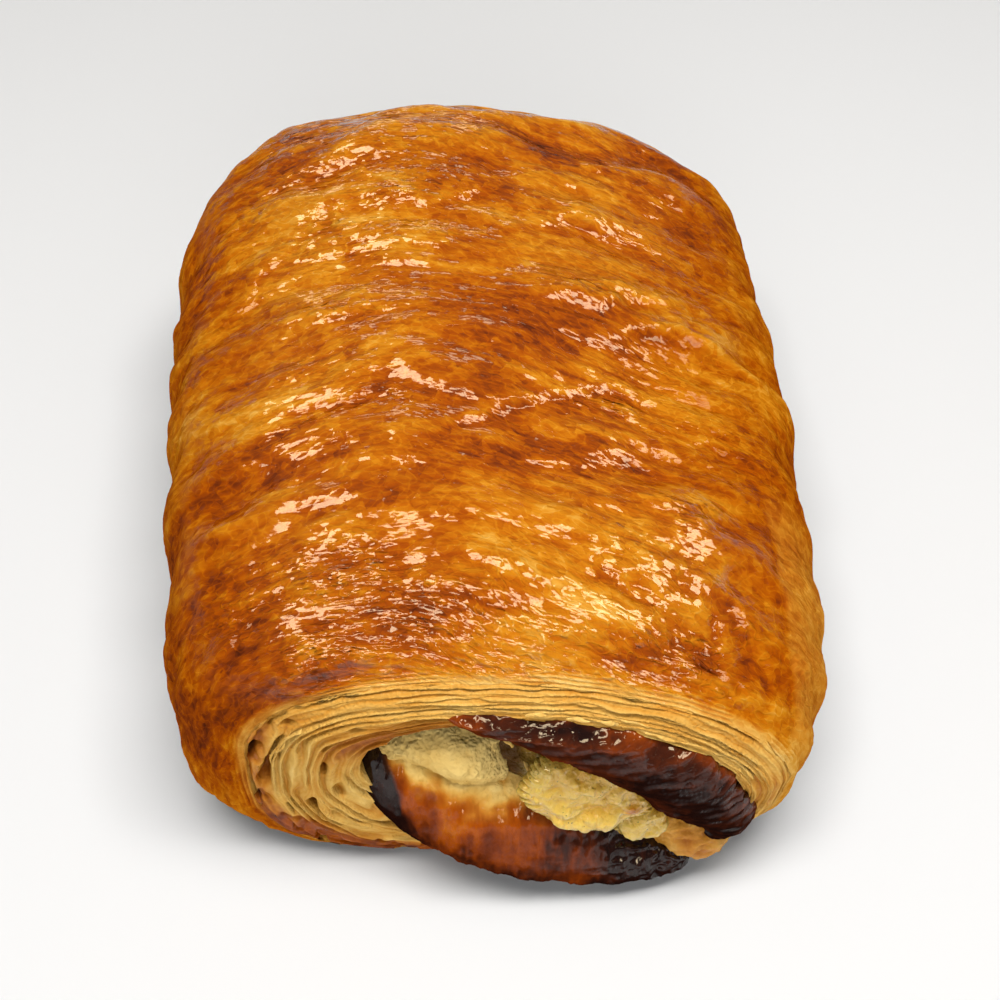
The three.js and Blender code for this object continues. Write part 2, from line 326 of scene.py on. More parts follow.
def crust_ring(end, turn, angle):
    """A ring of the crust: turn is 0 at the end's rim and 1 where the shoulder has reached full size."""
    phi = mix(RIM_TURN, math.pi / 2, turn)
    grown = 1 - (1 - rise(phi)) / (1 - rise(RIM_TURN))
    inwards = end["shoulder"] * (1 - fall(phi) / fall(RIM_TURN))
    y = end["rimY"] - end["side"] * inwards
    x, z = outline(
        angle, y, mix(end["rimWide"], 1, grown), mix(end["rimTop"], 1, grown), mix(end["rimFoot"], 1, grown)
    )
    out = crust_relief(angle, y, x) * mix(RIM_RELIEF, 1, grown)
    skew = cut_skew(end, x, z) * (1 - grown)
    return np.stack(
        [x + out * np.cos(angle) + end["rimX"] * (1 - grown), y + skew, z + out * np.sin(angle)], axis=-1
    )


def body_ring(y, angle):
    x, z = outline(angle, y, 1, 1, 1)
    out = crust_relief(angle, y, x)
    return np.stack([x + out * np.cos(angle), np.full_like(x, y), z + out * np.sin(angle)], axis=-1)


def mouth_point(mouth, angle, size):
    a = np.cos(angle) * mouth["halfWide"] * size
    b = np.sin(angle) * mouth["halfHigh"] * size
    c, s = math.cos(mouth["tilt"]), math.sin(mouth["tilt"])
    return mouth["x"] + a * c - b * s, mouth["z"] + a * s + b * c


def face_point(end, angle, share, stand_out=0.0):
    """A place on the cut end: share is 0 at the rim and 1 at the mouth's edge."""
    rx, rz = outline(angle, end["rimY"], end["rimWide"], end["rimTop"], end["rimFoot"])
    mx, mz = mouth_point(end["mouth"], angle, 1)
    x = mix(rx + end["rimX"], mx, share)
    z = mix(rz, mz, share)
    bulge = end["faceBulge"] * np.sin(np.clip(share, 0, 1) * np.pi * 0.8)
    y = end["rimY"] + cut_skew(end, x, z) + end["side"] * (bulge + stand_out)
    return np.stack([x, y, z], axis=-1)


# ---------------------------------------------------------------- meshes from grids


def grid_normals(points, closed_round=True):
    """Unit normals of a grid of points, from the differences between neighbours."""
    if closed_round:
        around = np.roll(points, -1, axis=1) - np.roll(points, 1, axis=1)
    else:
        around = np.gradient(points, axis=1)
    along = np.gradient(points, axis=0)
    n = np.cross(around, along)
    return n / np.maximum(np.linalg.norm(n, axis=-1, keepdims=True), 1e-9)


def grid_faces(rows, columns, start=0, closed_round=True):
    """Quads between the neighbours of a grid, as an array of four corners."""
    r = np.arange(rows - 1)[:, None]
    c = np.arange(columns if closed_round else columns - 1)[None, :]
    d = (c + 1) % columns
    corners = [r * columns + c, r * columns + d, (r + 1) * columns + d, (r + 1) * columns + c]
    corners = [np.broadcast_to(k, (rows - 1, c.shape[1])) for k in corners]
    return start + np.stack(corners, axis=-1).reshape(-1, 4)


def end_fans(rows, columns):
    """Triangles that close a tube-like grid at its two end rings, each about a middle point."""
    i = np.arange(columns)
    j = (i + 1) % columns
    first = rows * columns
    last = first + 1
    top = (rows - 1) * columns
    near = np.stack([np.full(columns, first), j, i], axis=-1)
    far = np.stack([np.full(columns, last), top + i, top + j], axis=-1)
    return np.concatenate([near, far])


def keep_inside(points):
    """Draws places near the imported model's box softly inwards, so that none is outside it."""
    low, high = (np.array(corner) / MM for corner in cad_box)
    limit = BOX_MARGIN * 0.96
    over = np.maximum(points - (high - BOX_MARGIN), 0)
    under = np.maximum(low + BOX_MARGIN - points, 0)
    under[..., 2] = 0
    points = points - over + limit * (1 - np.exp(-over / limit))
    return points + under - limit * (1 - np.exp(-under / limit))


def make_object(name, points, quads, triangles, values, material):
    """An object from points in millimetres, with named numbers on its points."""
    mesh = bpy.data.meshes.new(name)
    mesh.from_pydata((keep_inside(points) * MM).tolist(), [], quads.tolist() + triangles)
    for key, numbers in values.items():
        layer = mesh.attributes.new(key, "FLOAT", "POINT")
        layer.data.foreach_set("value", np.ascontiguousarray(numbers, np.float32).ravel())
    mesh.materials.append(material)
    mesh.polygons.foreach_set("use_smooth", np.ones(len(mesh.polygons), bool))
    edit = bmesh.new()
    edit.from_mesh(mesh)
    bmesh.ops.recalc_face_normals(edit, faces=edit.faces)
    edit.to_mesh(mesh)
    edit.free()
    mesh.update()
    piece = bpy.data.objects.new(name, mesh)
    bpy.context.scene.collection.objects.link(piece)
    return piece


def dough_numbers(bake, crumb=0.0, lively=0.5, gloss=0.5, pebbly=0.5, drift=0.0, mottle_and_painted_light=0.6):
    """The numbers that the dough's material reads, each for every point of a grid."""
    values = dict(crumb=crumb, lively=lively, gloss=gloss, pebbly=pebbly, drift=drift, mottle_and_painted_light=mottle_and_painted_light)
    numbers = {key: np.broadcast_to(value, bake.shape) for key, value in values.items()}
    return {"bake": np.clip(bake, 0, 1)} | numbers


def capped(grid):
    """A grid's values in one list, with the means of its first and last rings after them."""
    flat = grid.reshape(-1, *grid.shape[2:])
    return np.concatenate([flat, grid[0].mean(0)[None], grid[-1].mean(0)[None]])


class Pile:
    """Grids whose rows are rings, each closed at both ends, and their numbers, gathered into one mesh."""

    def __init__(self):
        self.points, self.quads, self.triangles, self.numbers = [], [], [], {}
        self.count = 0

    def add(self, grid, numbers):
        rows, columns = grid.shape[:2]
        self.points.append(capped(grid))
        self.quads.append(grid_faces(rows, columns, self.count))
        self.triangles.append(end_fans(rows, columns) + self.count)
        self.count += rows * columns + 2
        for key, value in numbers.items():
            self.numbers.setdefault(key, []).append(capped(value))

    def build(self, name, material):
        numbers = {key: np.concatenate(parts) for key, parts in self.numbers.items()}
        points, quads = np.concatenate(self.points), np.concatenate(self.quads)
        return make_object(name, points, quads, np.concatenate(self.triangles).tolist(), numbers, material)


def tube(grid, numbers, name, material):
    """A closed object from one grid whose rows are rings."""
    pile = Pile()
    pile.add(grid, numbers)
    return pile.build(name, material)


def piece_of(obj, node):
    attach(obj, "root")
    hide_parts(node)
    return obj


# ---------------------------------------------------------------- materials


def linear(red, green, blue):
    """A colour given as screen values from 0 to 255, as the linear values that shaders take."""
    values = [c / 255 for c in (red, green, blue)]
    return [c / 12.92 if c <= 0.04045 else ((c + 0.055) / 1.055) ** 2.4 for c in values] + [1.0]


class Nodes:
    """Short ways to add and join shader nodes. Sizes are in millimetres."""

    def __init__(self, name):
        self.material = bpy.data.materials.new(name)
        self.material.use_nodes = True
        self.tree = self.material.node_tree
        self.shader = self.tree.nodes["Principled BSDF"]
        metres = self.add("ShaderNodeTexCoord").outputs["Object"]
        self.place = self.vector("MULTIPLY", metres, (1000.0, 1000.0, 1000.0))

    def add(self, kind, **settings):
        node = self.tree.nodes.new(kind)
        for key, value in settings.items():
            setattr(node, key, value)
        return node

    def put(self, value, socket):
        """Joins an output to a socket, or sets a plain value there."""
        if isinstance(value, bpy.types.NodeSocket):
            self.tree.links.new(value, socket)
        else:
            socket.default_value = value

    def number(self, key):
        return self.add("ShaderNodeAttribute", attribute_name=key).outputs["Fac"]

    def math(self, operation, a, b=0.0, clamp=False):
        node = self.add("ShaderNodeMath", operation=operation, use_clamp=clamp)
        self.put(a, node.inputs[0])
        self.put(b, node.inputs[1])
        return node.outputs[0]

    def vector(self, operation, a, b, output=0):
        node = self.add("ShaderNodeVectorMath", operation=operation)
        self.put(a, node.inputs[0])
        self.put(b, node.inputs[1])
        return node.outputs[output]

    def shift_along(self, much):
        """Moves the place that later patterns are drawn at along Y."""
        shift = self.add("ShaderNodeCombineXYZ")
        self.put(much, shift.inputs["Y"])
        self.place = self.vector("ADD", self.place, shift.outputs[0])

    def stretched(self, sizes):
        """The place divided by a feature size for each axis."""
        return self.vector("DIVIDE", self.place, sizes)

    def texture(self, kind, place, **settings):
        """The outputs of a texture drawn at that place."""
        node = self.add(kind)
        for key, value in {"Scale": 1.0, **settings}.items():
            node.inputs[key].default_value = value
        self.put(place, node.inputs["Vector"])
        return node.outputs

    def noise(self, sizes, detail, output="Fac"):
        return self.texture("ShaderNodeTexNoise", self.stretched(sizes), Detail=detail)[output]

    def ridge(self, sizes, width):
        """Thin lines where a noise crosses its middle: 1 on a line and 0 a little way off it."""
        off = self.math("ABSOLUTE", self.math("SUBTRACT", self.noise(sizes, 0.0), 0.5))
        return self.math("SUBTRACT", 1.0, self.math("DIVIDE", off, width), clamp=True)

    def total(self, terms):
        """The sum of (pattern, its middle value, how much it counts)."""
        level = 0.0
        for pattern, middle, much in terms:
            swing = self.math("SUBTRACT", pattern, middle)
            level = self.math("ADD", level, self.math("MULTIPLY", swing, much))
        return level

    def facets(self, sizes):
        """Height of small flat facets, each with a lean of its own, and the lean along Y from 0 to 1."""
        place = self.stretched(sizes)
        cell = self.texture("ShaderNodeTexVoronoi", place)
        apart = self.vector("SUBTRACT", place, cell["Position"])
        lean = self.vector("SUBTRACT", cell["Color"], (0.5, 0.5, 0.5))
        parts = self.add("ShaderNodeSeparateXYZ")
        self.put(cell["Color"], parts.inputs[0])
        return self.vector("DOT_PRODUCT", apart, lean, "Value"), parts.outputs["Y"]

    def warp(self, much, sizes):
        """Moves the place that later patterns are drawn at about by a soft noise."""
        centred = self.vector("SUBTRACT", self.noise(sizes, 1.0, "Color"), (0.5, 0.5, 0.5))
        self.place = self.vector("ADD", self.place, self.vector("MULTIPLY", centred, (much, much, much)))

    def ramp(self, factor, stops):
        """A colour ramp through (place, colour) stops."""
        node = self.add("ShaderNodeValToRGB")
        elements = node.color_ramp.elements
        for _ in stops[2:]:
            elements.new(0.5)
        for element, (at, colour) in zip(elements, stops):
            element.position = at
            element.color = linear(*colour)
        self.put(factor, node.inputs["Fac"])
        return node.outputs["Color"]

    def blend(self, factor, a, b):
        """Colour a turned towards colour b by that factor."""
        node = self.add("ShaderNodeMix", data_type="RGBA")
        self.put(factor, node.inputs["Factor"])
        self.put(a, node.inputs[6])
        self.put(b, node.inputs[7])
        return node.outputs[2]

    def bump(self, height, distance, strength=1.0, onto=None):
        """Normals of a relief of that height, over those of another relief where one is given."""
        node = self.add("ShaderNodeBump")
        node.inputs["Distance"].default_value = distance * MM
        self.put(strength, node.inputs["Strength"])
        self.put(height, node.inputs["Height"])
        if onto is not None:
            self.put(onto, node.inputs["Normal"])
        return node.outputs["Normal"]


# Colours, as screen values, of crust, crumb and paste from the palest to the brownest.
CRUST_STOPS = [
    (0.00, (238, 190, 104)),
    (0.15, (226, 162, 60)),
    (0.30, (212, 133, 22)),
    (0.46, (192, 103, 8)),
    (0.60, (168, 76, 5)),
    (0.75, (126, 52, 12)),
    (0.88, (72, 30, 14)),
    (1.00, (34, 16, 12)),
]
CRUMB_STOPS = [
    (0.00, (255, 218, 134)),
    (0.25, (238, 192, 102)),
    (0.50, (224, 160, 64)),
    (0.75, (190, 112, 34)),
    (1.00, (112, 58, 22)),
]
PASTE_STOPS = [
    (0.00, (236, 198, 92)),
    (0.30, (230, 178, 64)),
    (0.60, (218, 148, 34)),
    (1.00, (170, 80, 18)),
]
SPECK_COLOUR = (122, 112, 46)
# Painted shade of the paste in the mouth's dark cavity.
CAVITY_SHADE_COLOUR = (96, 62, 20)


def dough_material(name, thin):
    """Baked dough. Numbers on the mesh say how browned it is, with painted light and shade in some places, and
    how far it is matt crumb, not glazed crust.

    thin is the axis across which its wrinkles lie close together."""
    n = Nodes(name)

    def sizes(long, short):
        size = [long] * 3
        size[thin] = short
        return size

    bake = n.number("bake")
    crumb = n.number("crumb")
    lively = n.number("lively")
    n.shift_along(n.number("drift"))
    streak = n.noise(sizes(7.0, 1.9), 2.0)
    mottle = n.noise(sizes(2.6, 1.3), 1.0)
    wrinkles = n.noise(sizes(2.8, 0.85), 1.0)
    fine = n.noise(sizes(0.7, 0.35), 0.0)
    net = n.ridge(sizes(1.7, 1.0), 0.07)
    n.warp(0.4, sizes(2.6, 1.4))
    large, large_lean_painted_light = n.facets(sizes(2.5, 1.6))
    small, small_lean_painted_light = n.facets(sizes(1.15, 0.8))
    # Streaks and mottle are the dough's own tone. The rest is painted light and shade: paler on raised wrinkles
    # and ridge lines, browner between them, and paler on facets that lean towards the main lights.
    patches_and_painted_light = n.total([
        (streak, 0.5, 0.28), (mottle, 0.5, 0.10), (wrinkles, 0.5, -0.30), (net, 0.22, -0.09),
        (small_lean_painted_light, 0.5, -0.11), (large_lean_painted_light, 0.5, -0.10),
    ])
    calm_crumb = n.math("SUBTRACT", 1.0, n.math("MULTIPLY", crumb, 0.5))
    mottle_and_painted_light = n.math("MULTIPLY", patches_and_painted_light, n.math("MULTIPLY", calm_crumb, n.number("mottle_and_painted_light")))
    browned = n.math("ADD", bake, mottle_and_painted_light, clamp=True)
    colour = n.blend(crumb, n.ramp(browned, CRUST_STOPS), n.ramp(browned, CRUMB_STOPS))
    glazed = n.math("SUBTRACT", 1.0, crumb, clamp=True)
    strength = n.math("MULTIPLY", glazed, lively)
    # The glaze mirrors facets and wrinkles. The dough under it has finer lines and the crumb's grain as well.
    coat = n.bump(n.total([(wrinkles, 0.5, 0.24), (large, 0.0, 0.40), (small, 0.0, 0.30)]), 1.0, strength)
    lines = n.math("MULTIPLY", net, n.number("pebbly"))
    creased = n.total([(wrinkles, 0.5, 0.40), (lines, 0.0, 0.09), (fine, 0.5, 0.14)])
    relief = n.bump(creased, 1.0, strength, coat)
    relief = n.bump(n.noise((0.45, 0.35, 0.45), 0.0), 0.26, crumb, relief)
    s = n.shader.inputs
    s["Roughness"].default_value = 0.6
    s["Specular IOR Level"].default_value = 0.0
    s["Coat Roughness"].default_value = 0.07
    s["Coat IOR"].default_value = 1.45
    n.put(colour, s["Base Color"])
    n.put(n.math("MULTIPLY", glazed, n.number("gloss")), s["Coat Weight"])
    n.put(coat, s["Coat Normal"])
    n.put(relief, s["Normal"])
    return n.material


def paste_material():
    """Pale moist paste with fine specks, toasted where the mesh's numbers say so, and painted dark with painted
    shade where they mark the mouth's cavity.
    """
    n = Nodes("durian_paste_pale")
    cavity_shade = n.number("cavity_shade")
    mottle = n.noise((1.8, 1.8, 1.8), 3.0)
    level = n.math("ADD", n.number("bake"), n.total([(mottle, 0.5, 0.35)]), clamp=True)
    cell = n.texture("ShaderNodeTexVoronoi", n.stretched((0.95, 0.95, 0.95)))
    speck = n.math("LESS_THAN", cell["Distance"], 0.12)
    colour = n.blend(n.math("MULTIPLY", speck, 0.75), n.ramp(level, PASTE_STOPS), linear(*SPECK_COLOUR))
    relief = n.bump(n.noise((1.1, 1.1, 1.1), 2.0), 0.7)
    relief = n.bump(n.noise((0.35, 0.35, 0.35), 1.0), 0.16, 1.0, relief)
    s = n.shader.inputs
    s["Roughness"].default_value = 0.45
    s["Specular IOR Level"].default_value = 0.2
    s["Coat Roughness"].default_value = 0.09
    s["Subsurface Weight"].default_value = 0.25
    s["Subsurface Radius"].default_value = (1.0, 0.7, 0.3)
    s["Subsurface Scale"].default_value = 0.0012
    # Painted shade: the paste in the cavity takes the dark colour and loses its glaze.
    n.put(n.blend(cavity_shade, colour, linear(*CAVITY_SHADE_COLOUR)), s["Base Color"])
    n.put(n.math("SUBTRACT", 1.0, cavity_shade, clamp=True), s["Coat Weight"])
    n.put(relief, s["Normal"])
    return n.material


# ---------------------------------------------------------------- the crust


def column_angles(count):
    """Angles round the roll, closer together over the top and sides than underneath."""
    dense = np.linspace(0, 2 * np.pi, 6001)
    x, z = outline(dense, 0.0, 1, 1, 1)
    step = np.hypot(np.diff(x), np.diff(z))
    height = (z[1:] + z[:-1]) / 2
    wanted = step * mix(0.35, 1.0, smooth(2, 12, height))
    run = np.concatenate([[0], np.cumsum(wanted)])
    return np.interp(np.arange(count) / count * run[-1], run, dense)


def fold_relief(p):
    """Height of the top crust's folds, each with a pale back and a steep front, and the painted light and shade
    on them: the back is painted paler and the front browner.
    """
    x, y, z = p[..., 0], p[..., 1], p[..., 2]
    height, brown = np.zeros_like(x), np.zeros_like(x)
    on_top = smooth(22, 32, z)
    for k, (places, much) in enumerate(FOLDS):
        xs = np.array([q[0] for q in places], float)
        ys = np.array([q[1] for q in places], float)
        fade = min(4.0, (xs[-1] - xs[0]) * 0.35)
        within = smooth(xs[0] - fade, xs[0] + fade, x) * (1 - smooth(xs[-1] - fade, xs[-1] + fade, x))
        within = within * on_top
        d = y - np.interp(x, xs, ys) - 0.9 * noise(p, 4.5, 91 + k) - 0.15 * noise(p, 2, 92 + k)
        height = height + 1.0 * much * within * smooth(-1.4, 0.9, d) * np.exp(-np.maximum(d - 0.5, 0) / 7.0)
        # Painted shade on each fold's steep front and painted light on its back.
        below = np.exp(np.minimum(d, 0) / 1.6) * smooth(0.3, -0.9, d)
        above = np.exp(-np.maximum(d, 0) / 2.0) * smooth(-0.9, 0.5, d)
        brown = brown + much * within * (0.20 * below - 0.15 * above)
    return height, brown


def shells(p):
    """How far each place lies in a crumpled shell of glaze, and how far the shell rises there."""
    x, y, z = p[..., 0], p[..., 1], p[..., 2]
    share, height = np.zeros_like(x), np.zeros_like(x)
    warp = p + 1.6 * noise3(p, 4, 211)
    for sx, sy, across, along, much in SHELLS:
        inside = smooth(1.25, 0.6, np.hypot((warp[..., 0] - sx) / across, (warp[..., 1] - sy) / along))
        share = np.maximum(share, inside)
        height = height + much * inside
    on_top = smooth(20, 30, z)
    return share * on_top, height * on_top


def flow(p):
    """How far along Y the wrinkles drift at each place, as they run from side to side over the top."""
    return 12 * smooth(-16, 28, p[..., 0]) + 1.6 * noise(p, 15, 11) + 0.3 * noise(p, 5, 12)


def stain(p):
    x, y, z = p[..., 0], p[..., 1], p[..., 2]
    total = np.zeros_like(x)
    warp = p + 3.0 * noise3(p, 7, 201)
    for sx, sy, across, along, much in STAINS:
        total = total + much * bump(np.hypot((warp[..., 0] - sx) / across, (warp[..., 1] - sy) / along))
    return total * smooth(14, 26, z)


def crust_rings(angle):
    """The crust's mean surface, as rings from the near end's rim to the far end's."""
    near_turns = np.linspace(0, 1, NEAR_SHOULDER_RINGS) ** 1.6
    far_turns = np.linspace(1, 0, FAR_SHOULDER_RINGS) ** 1.6
    near_full = NEAR_END["rimY"] + NEAR_END["shoulder"]
    far_full = FAR_END["rimY"] - FAR_END["shoulder"]
    body = np.linspace(near_full, far_full, BODY_RINGS + 2)[1:-1]
    rings = [crust_ring(NEAR_END, t, angle) for t in near_turns]
    rings += [body_ring(y, angle) for y in body]
    rings += [crust_ring(FAR_END, t, angle) for t in far_turns]
    return np.array(rings)


def length_drift(base):
    """How far along Y the pattern shifts, so that it isn't stretched where the crust turns down."""
    columns = base.shape[1]
    steps = np.linalg.norm(np.diff(base, axis=0), axis=-1)
    arc = np.concatenate([np.zeros((1, columns)), np.cumsum(steps, axis=0)])
    anchor = NEAR_SHOULDER_RINGS + BODY_RINGS // 2
    y = base[..., 1]
    longer = np.fft.rfft(arc - arc[anchor] + y[anchor] - y, axis=1)
    longer[:, 6:] = 0
    return np.fft.irfft(longer, columns, axis=1)


def crust_surface():
    """Places of the whole outer crust, as a grid with a row for each ring, and its numbers."""
    angle = column_angles(CRUST_COLUMNS)
    base = crust_rings(angle)
    out = outward(base)
    x, y, z = base[..., 0], base[..., 1], base[..., 2]
    drift = flow(base) + length_drift(base)
    warp = base.copy()
    warp[..., 1] += drift
    pebbly = smooth(-22, -40, y) * 0.85 + 0.2 * noise(base, 14, 13)
    pebbly = clamp01(pebbly + smooth(-26, -40, x) * 0.6)
    run_round = billow(warp, (8.0, 2.6, 8.0), 21, 2) * 0.30
    pebbles = billow(warp, (3.4, 2.4, 3.4), 23, 2) * 0.38
    calm = 0.55 + 0.45 * smooth(-0.35, 0.35, noise(base, 9, 24))
    fine = mix(run_round, pebbles, pebbly) * calm
    medium = 0.55 * rough(base, (11, 6, 11), 25, 2) + 0.60 * rough(warp, (14, 4.5, 14), 26, 2)
    in_shell, shell_rise = shells(base)
    fine = fine + in_shell * 0.22 * ridged(base, (2.2, 1.3, 2.2), 36, 2)
    reach = np.minimum(np.linalg.norm(base - base[0], axis=-1), np.linalg.norm(base - base[-1], axis=-1))
    from_rim = smooth(0, 3.5, reach)
    # Fine lines round the rim, where the glaze gives way to the edges of the sheets.
    lines = np.sin(2 * np.pi * reach / 0.62 + 2.2 * noise(base, 9, 27) + 1.2 * noise(base, 3, 28))
    lines = lines * smooth(3.4, 1.2, reach) * smooth(-0.5, 0.2, noise(base, 5, 29))
    above_foot = smooth(0.3, 5, z)
    relief = (fine * mix(0.6, 1, from_rim) + medium * from_rim + 0.11 * lines) * mix(0.15, 1, above_foot)
    fold_height, fold_painted_light = fold_relief(base)
    relief = relief + (fold_height + shell_rise) * from_rim - INSET
    places = base + out * relief[..., None]
    places[..., 2] = np.maximum(places[..., 2], 0)

    broad = 0.10 * rough(base, (13, 8, 13), 31, 3) + 0.10 * rough(warp, (14, 3.0, 14), 32, 3)
    middle_dark = bump(np.hypot((x - 3) / 22, (y + 8) / 17)) * smooth(30, 44, z)
    # Besides its own browning and stains, the crust is painted paler on its raised relief and browner in its
    # hollows: painted light and shade.
    bake = 0.485 + 0.05 * middle_dark + broad + stain(base) + fold_painted_light - 0.4 * (fine - 0.09) - 0.10 * medium
    front = smooth(-24, -38, y) * smooth(36, 44, z)
    back_left = smooth(14, 24, y) * smooth(8, -8, x) * smooth(38, 46, z)
    lively = 0.62 + 0.28 * front + 0.25 * back_left + 0.25 * rough(warp, (8, 4, 8), 34, 2) + 0.5 * in_shell
    rim_pale = smooth(4.5, 0.3, reach) * smooth(-0.6, 0.2, np.sin(angle))[None, :]
    bake = bake - mix(0.32, 0.20, smooth(-30, -15, x)) * rim_pale - 0.10 * lines
    bake = bake - 0.05 * smooth(-26, -36, y) * smooth(-14, 0, x)
    side_dark = smooth(30, 14, z)
    bake = bake + 0.10 * side_dark * smooth(10, -25, x) + 0.04 * smooth(28, 38, x)
    under = smooth(1.2, 0.0, z)
    bake = mix(bake, 0.66 + 0.10 * rough(base, 9, 33, 3), under)
    on_top = smooth(-0.5, 0.3, np.sin(angle))[None, :]
    crumb = clamp01(under * 0.75 + mix(0.25, 0.6, on_top) * smooth(mix(0.9, 1.8, on_top), 0.0, reach))
    duller = smooth(12, 28, x) * smooth(-30, -20, y) * smooth(22, 10, y)
    gloss = mix(0.03, 1.0, smooth(35, 47, z)) * mix(0.35, 1.0, smooth(-36, -24, x) * smooth(38, 24, x))
    gloss = gloss * (1 - 0.6 * duller)
    # The right flank's loose outer sheet is tan and matt.
    loose = smooth(36.0, 37.0, x + 1.0 * noise(base, 5, 37)) * smooth(-14, -24, y) * smooth(10, 16, z)
    bake = mix(bake, 0.33 + 0.5 * (bake - 0.4), 0.7 * loose)
    crumb = clamp01(crumb + 0.14 * loose)
    bake = bake - 0.55 * np.maximum(bake - 0.62, 0)
    lively = np.clip(lively, 0.3, 1.3)
    return places, dough_numbers(np.clip(bake, 0.05, 0.98), crumb, lively, gloss, pebbly, drift, mottle_and_painted_light=1.0)


# Rings behind the cut end's sheets: share of the way in from the rim, and depth.
BED_RINGS = ((0.012, 0.3), (0.025, 1.0), (0.04, 2.0), (0.07, 3.2), (0.4, 3.6), (0.7, 3.7), (0.97, 3.8))
HOLLOW_RINGS = 8


def recessed_end(end, angle):
    """Rings from the rim inwards: the crust's own edge, a bed behind the layers and the mouth's hollow, painted
    darker towards its depth as painted shade.
    """
    rings = [face_point(end, angle, share, -depth) for share, depth in BED_RINGS]
    bakes_and_shade = [0.5] * len(BED_RINGS)
    for i in range(1, HOLLOW_RINGS + 1):
        t = i / HOLLOW_RINGS
        x, z = mouth_point(end["mouth"], angle, 1.0 - 0.12 * t - 0.7 * t**5)
        depth = BED_RINGS[-1][1] + end["mouthDepth"] * math.sin(t * math.pi / 2)
        rings.append(np.stack([x, end["rimY"] + cut_skew(end, x, z) - end["side"] * depth, z], axis=-1))
        # Painted shade: the hollow is coloured ever darker towards its depth.
        bakes_and_shade.append(mix(0.80, 1.0, t))
    places = np.array(rings)
    shaken = [rough(places, size, seed) for size, seed in ((4, 41), (3, 42), (4, 43))]
    places = places + 0.5 * np.stack(shaken, axis=-1)
    places[..., 2] = np.maximum(places[..., 2], 0.3)
    bake = np.array(bakes_and_shade)[:, None] + 0.12 * rough(places, 5, 44)
    return places, bake


def make_crust(material):
    """The whole crust and, behind the cut ends' sheets, the beds and hollows that close it."""
    places, numbers = crust_surface()
    angle = column_angles(CRUST_COLUMNS)
    near, near_bake_and_shade = recessed_end(NEAR_END, angle)
    far, far_bake_and_shade = recessed_end(FAR_END, angle)
    ends = dict(crumb=0.9, lively=0.5, gloss=0.2, pebbly=0.5, drift=0.0, mottle_and_painted_light=0.6)
    first = {"bake": near_bake_and_shade[::-1]} | {key: np.full(near_bake_and_shade.shape, value) for key, value in ends.items()}
    last = {"bake": far_bake_and_shade} | {key: np.full(far_bake_and_shade.shape, value) for key, value in ends.items()}
    every = {key: np.concatenate([first[key], value, last[key]]) for key, value in numbers.items()}
    return tube(np.concatenate([near[::-1], places, far]), every, "crust", material)


# ---------------------------------------------------------------- the layers at the cut ends


# The section of a sheet's edge: share of its thickness to the side, and how far behind its front.
SHEET_SECTION = (
    (-0.5, -3.6), (-0.5, -1.4), (-0.42, -0.3), (-0.2, 0.0),
    (0.2, 0.0), (0.42, -0.3), (0.5, -1.4), (0.5, -3.6),
)


def layer_ribbon(end, share, start, stop, thick, seed):
    """One thin sheet's edge at a cut end, from one angle to another, as a strip with a rounded front."""
    angle = np.linspace(start, stop, STRAND_RINGS)
    place = np.stack([np.cos(angle) * 30, np.full(STRAND_RINGS, seed * 7.3), np.sin(angle) * 30], axis=-1)
    open_side = smooth(-0.2, 0.9, -np.cos(angle)) * smooth(0.85, 0.1, np.sin(angle))
    shift = 0.045 * noise(place, 9, seed) + 0.020 * noise(place, 4, seed + 1)
    width = thick * (1 + 0.35 * noise(place, 6, seed + 2)) * (1 + 0.3 * open_side)
    run = (angle - start) / (stop - start)
    ends = np.minimum(smooth(0, 0.05, run), smooth(1, 0.95, run))
    width = np.maximum(width * ends, 0.05)
    ragged = 0.40 * rough(place, 5, seed + 3, 3) + 0.18 * noise(place, 1.1, seed + 4)
    ragged = ragged * mix(1.0, 0.6, open_side)
    reach = (0.1 + ragged) * mix(0.3, 1.0, ends) - 1.6 * (1 - ends)
    inner = face_point(end, angle, np.clip(share + shift + 0.02, 0.01, 1))
    outer = face_point(end, angle, np.clip(share + shift - 0.02, 0, 1))
    across = inner - outer
    across[:, 1] = 0
    across /= np.maximum(np.linalg.norm(across, axis=-1, keepdims=True), 1e-6)
    centre = face_point(end, angle, np.clip(share + shift, 0.01, 1))
    strip = np.zeros((STRAND_RINGS, len(SHEET_SECTION), 3))
    for k, (side, back) in enumerate(SHEET_SECTION):
        wobble = 0.2 * noise(place + np.array([0, back * 2.0, 0]), 4, seed + 6)
        strip[:, k] = centre + across * (side * width + wobble)[:, None]
        strip[:, k, 1] += end["side"] * (reach + back)
    strip[..., 2] = np.maximum(strip[..., 2], 0.12)
    return strip


SHEETS_IN_FACE = 9
# The face's back: share of the way in from the rim, and depth behind the face.
FACE_BACK = ((1.0, 1.6), (1.0, 4.4), (0.5, 4.6), (0.05, 4.4), (0.03, 1.6))


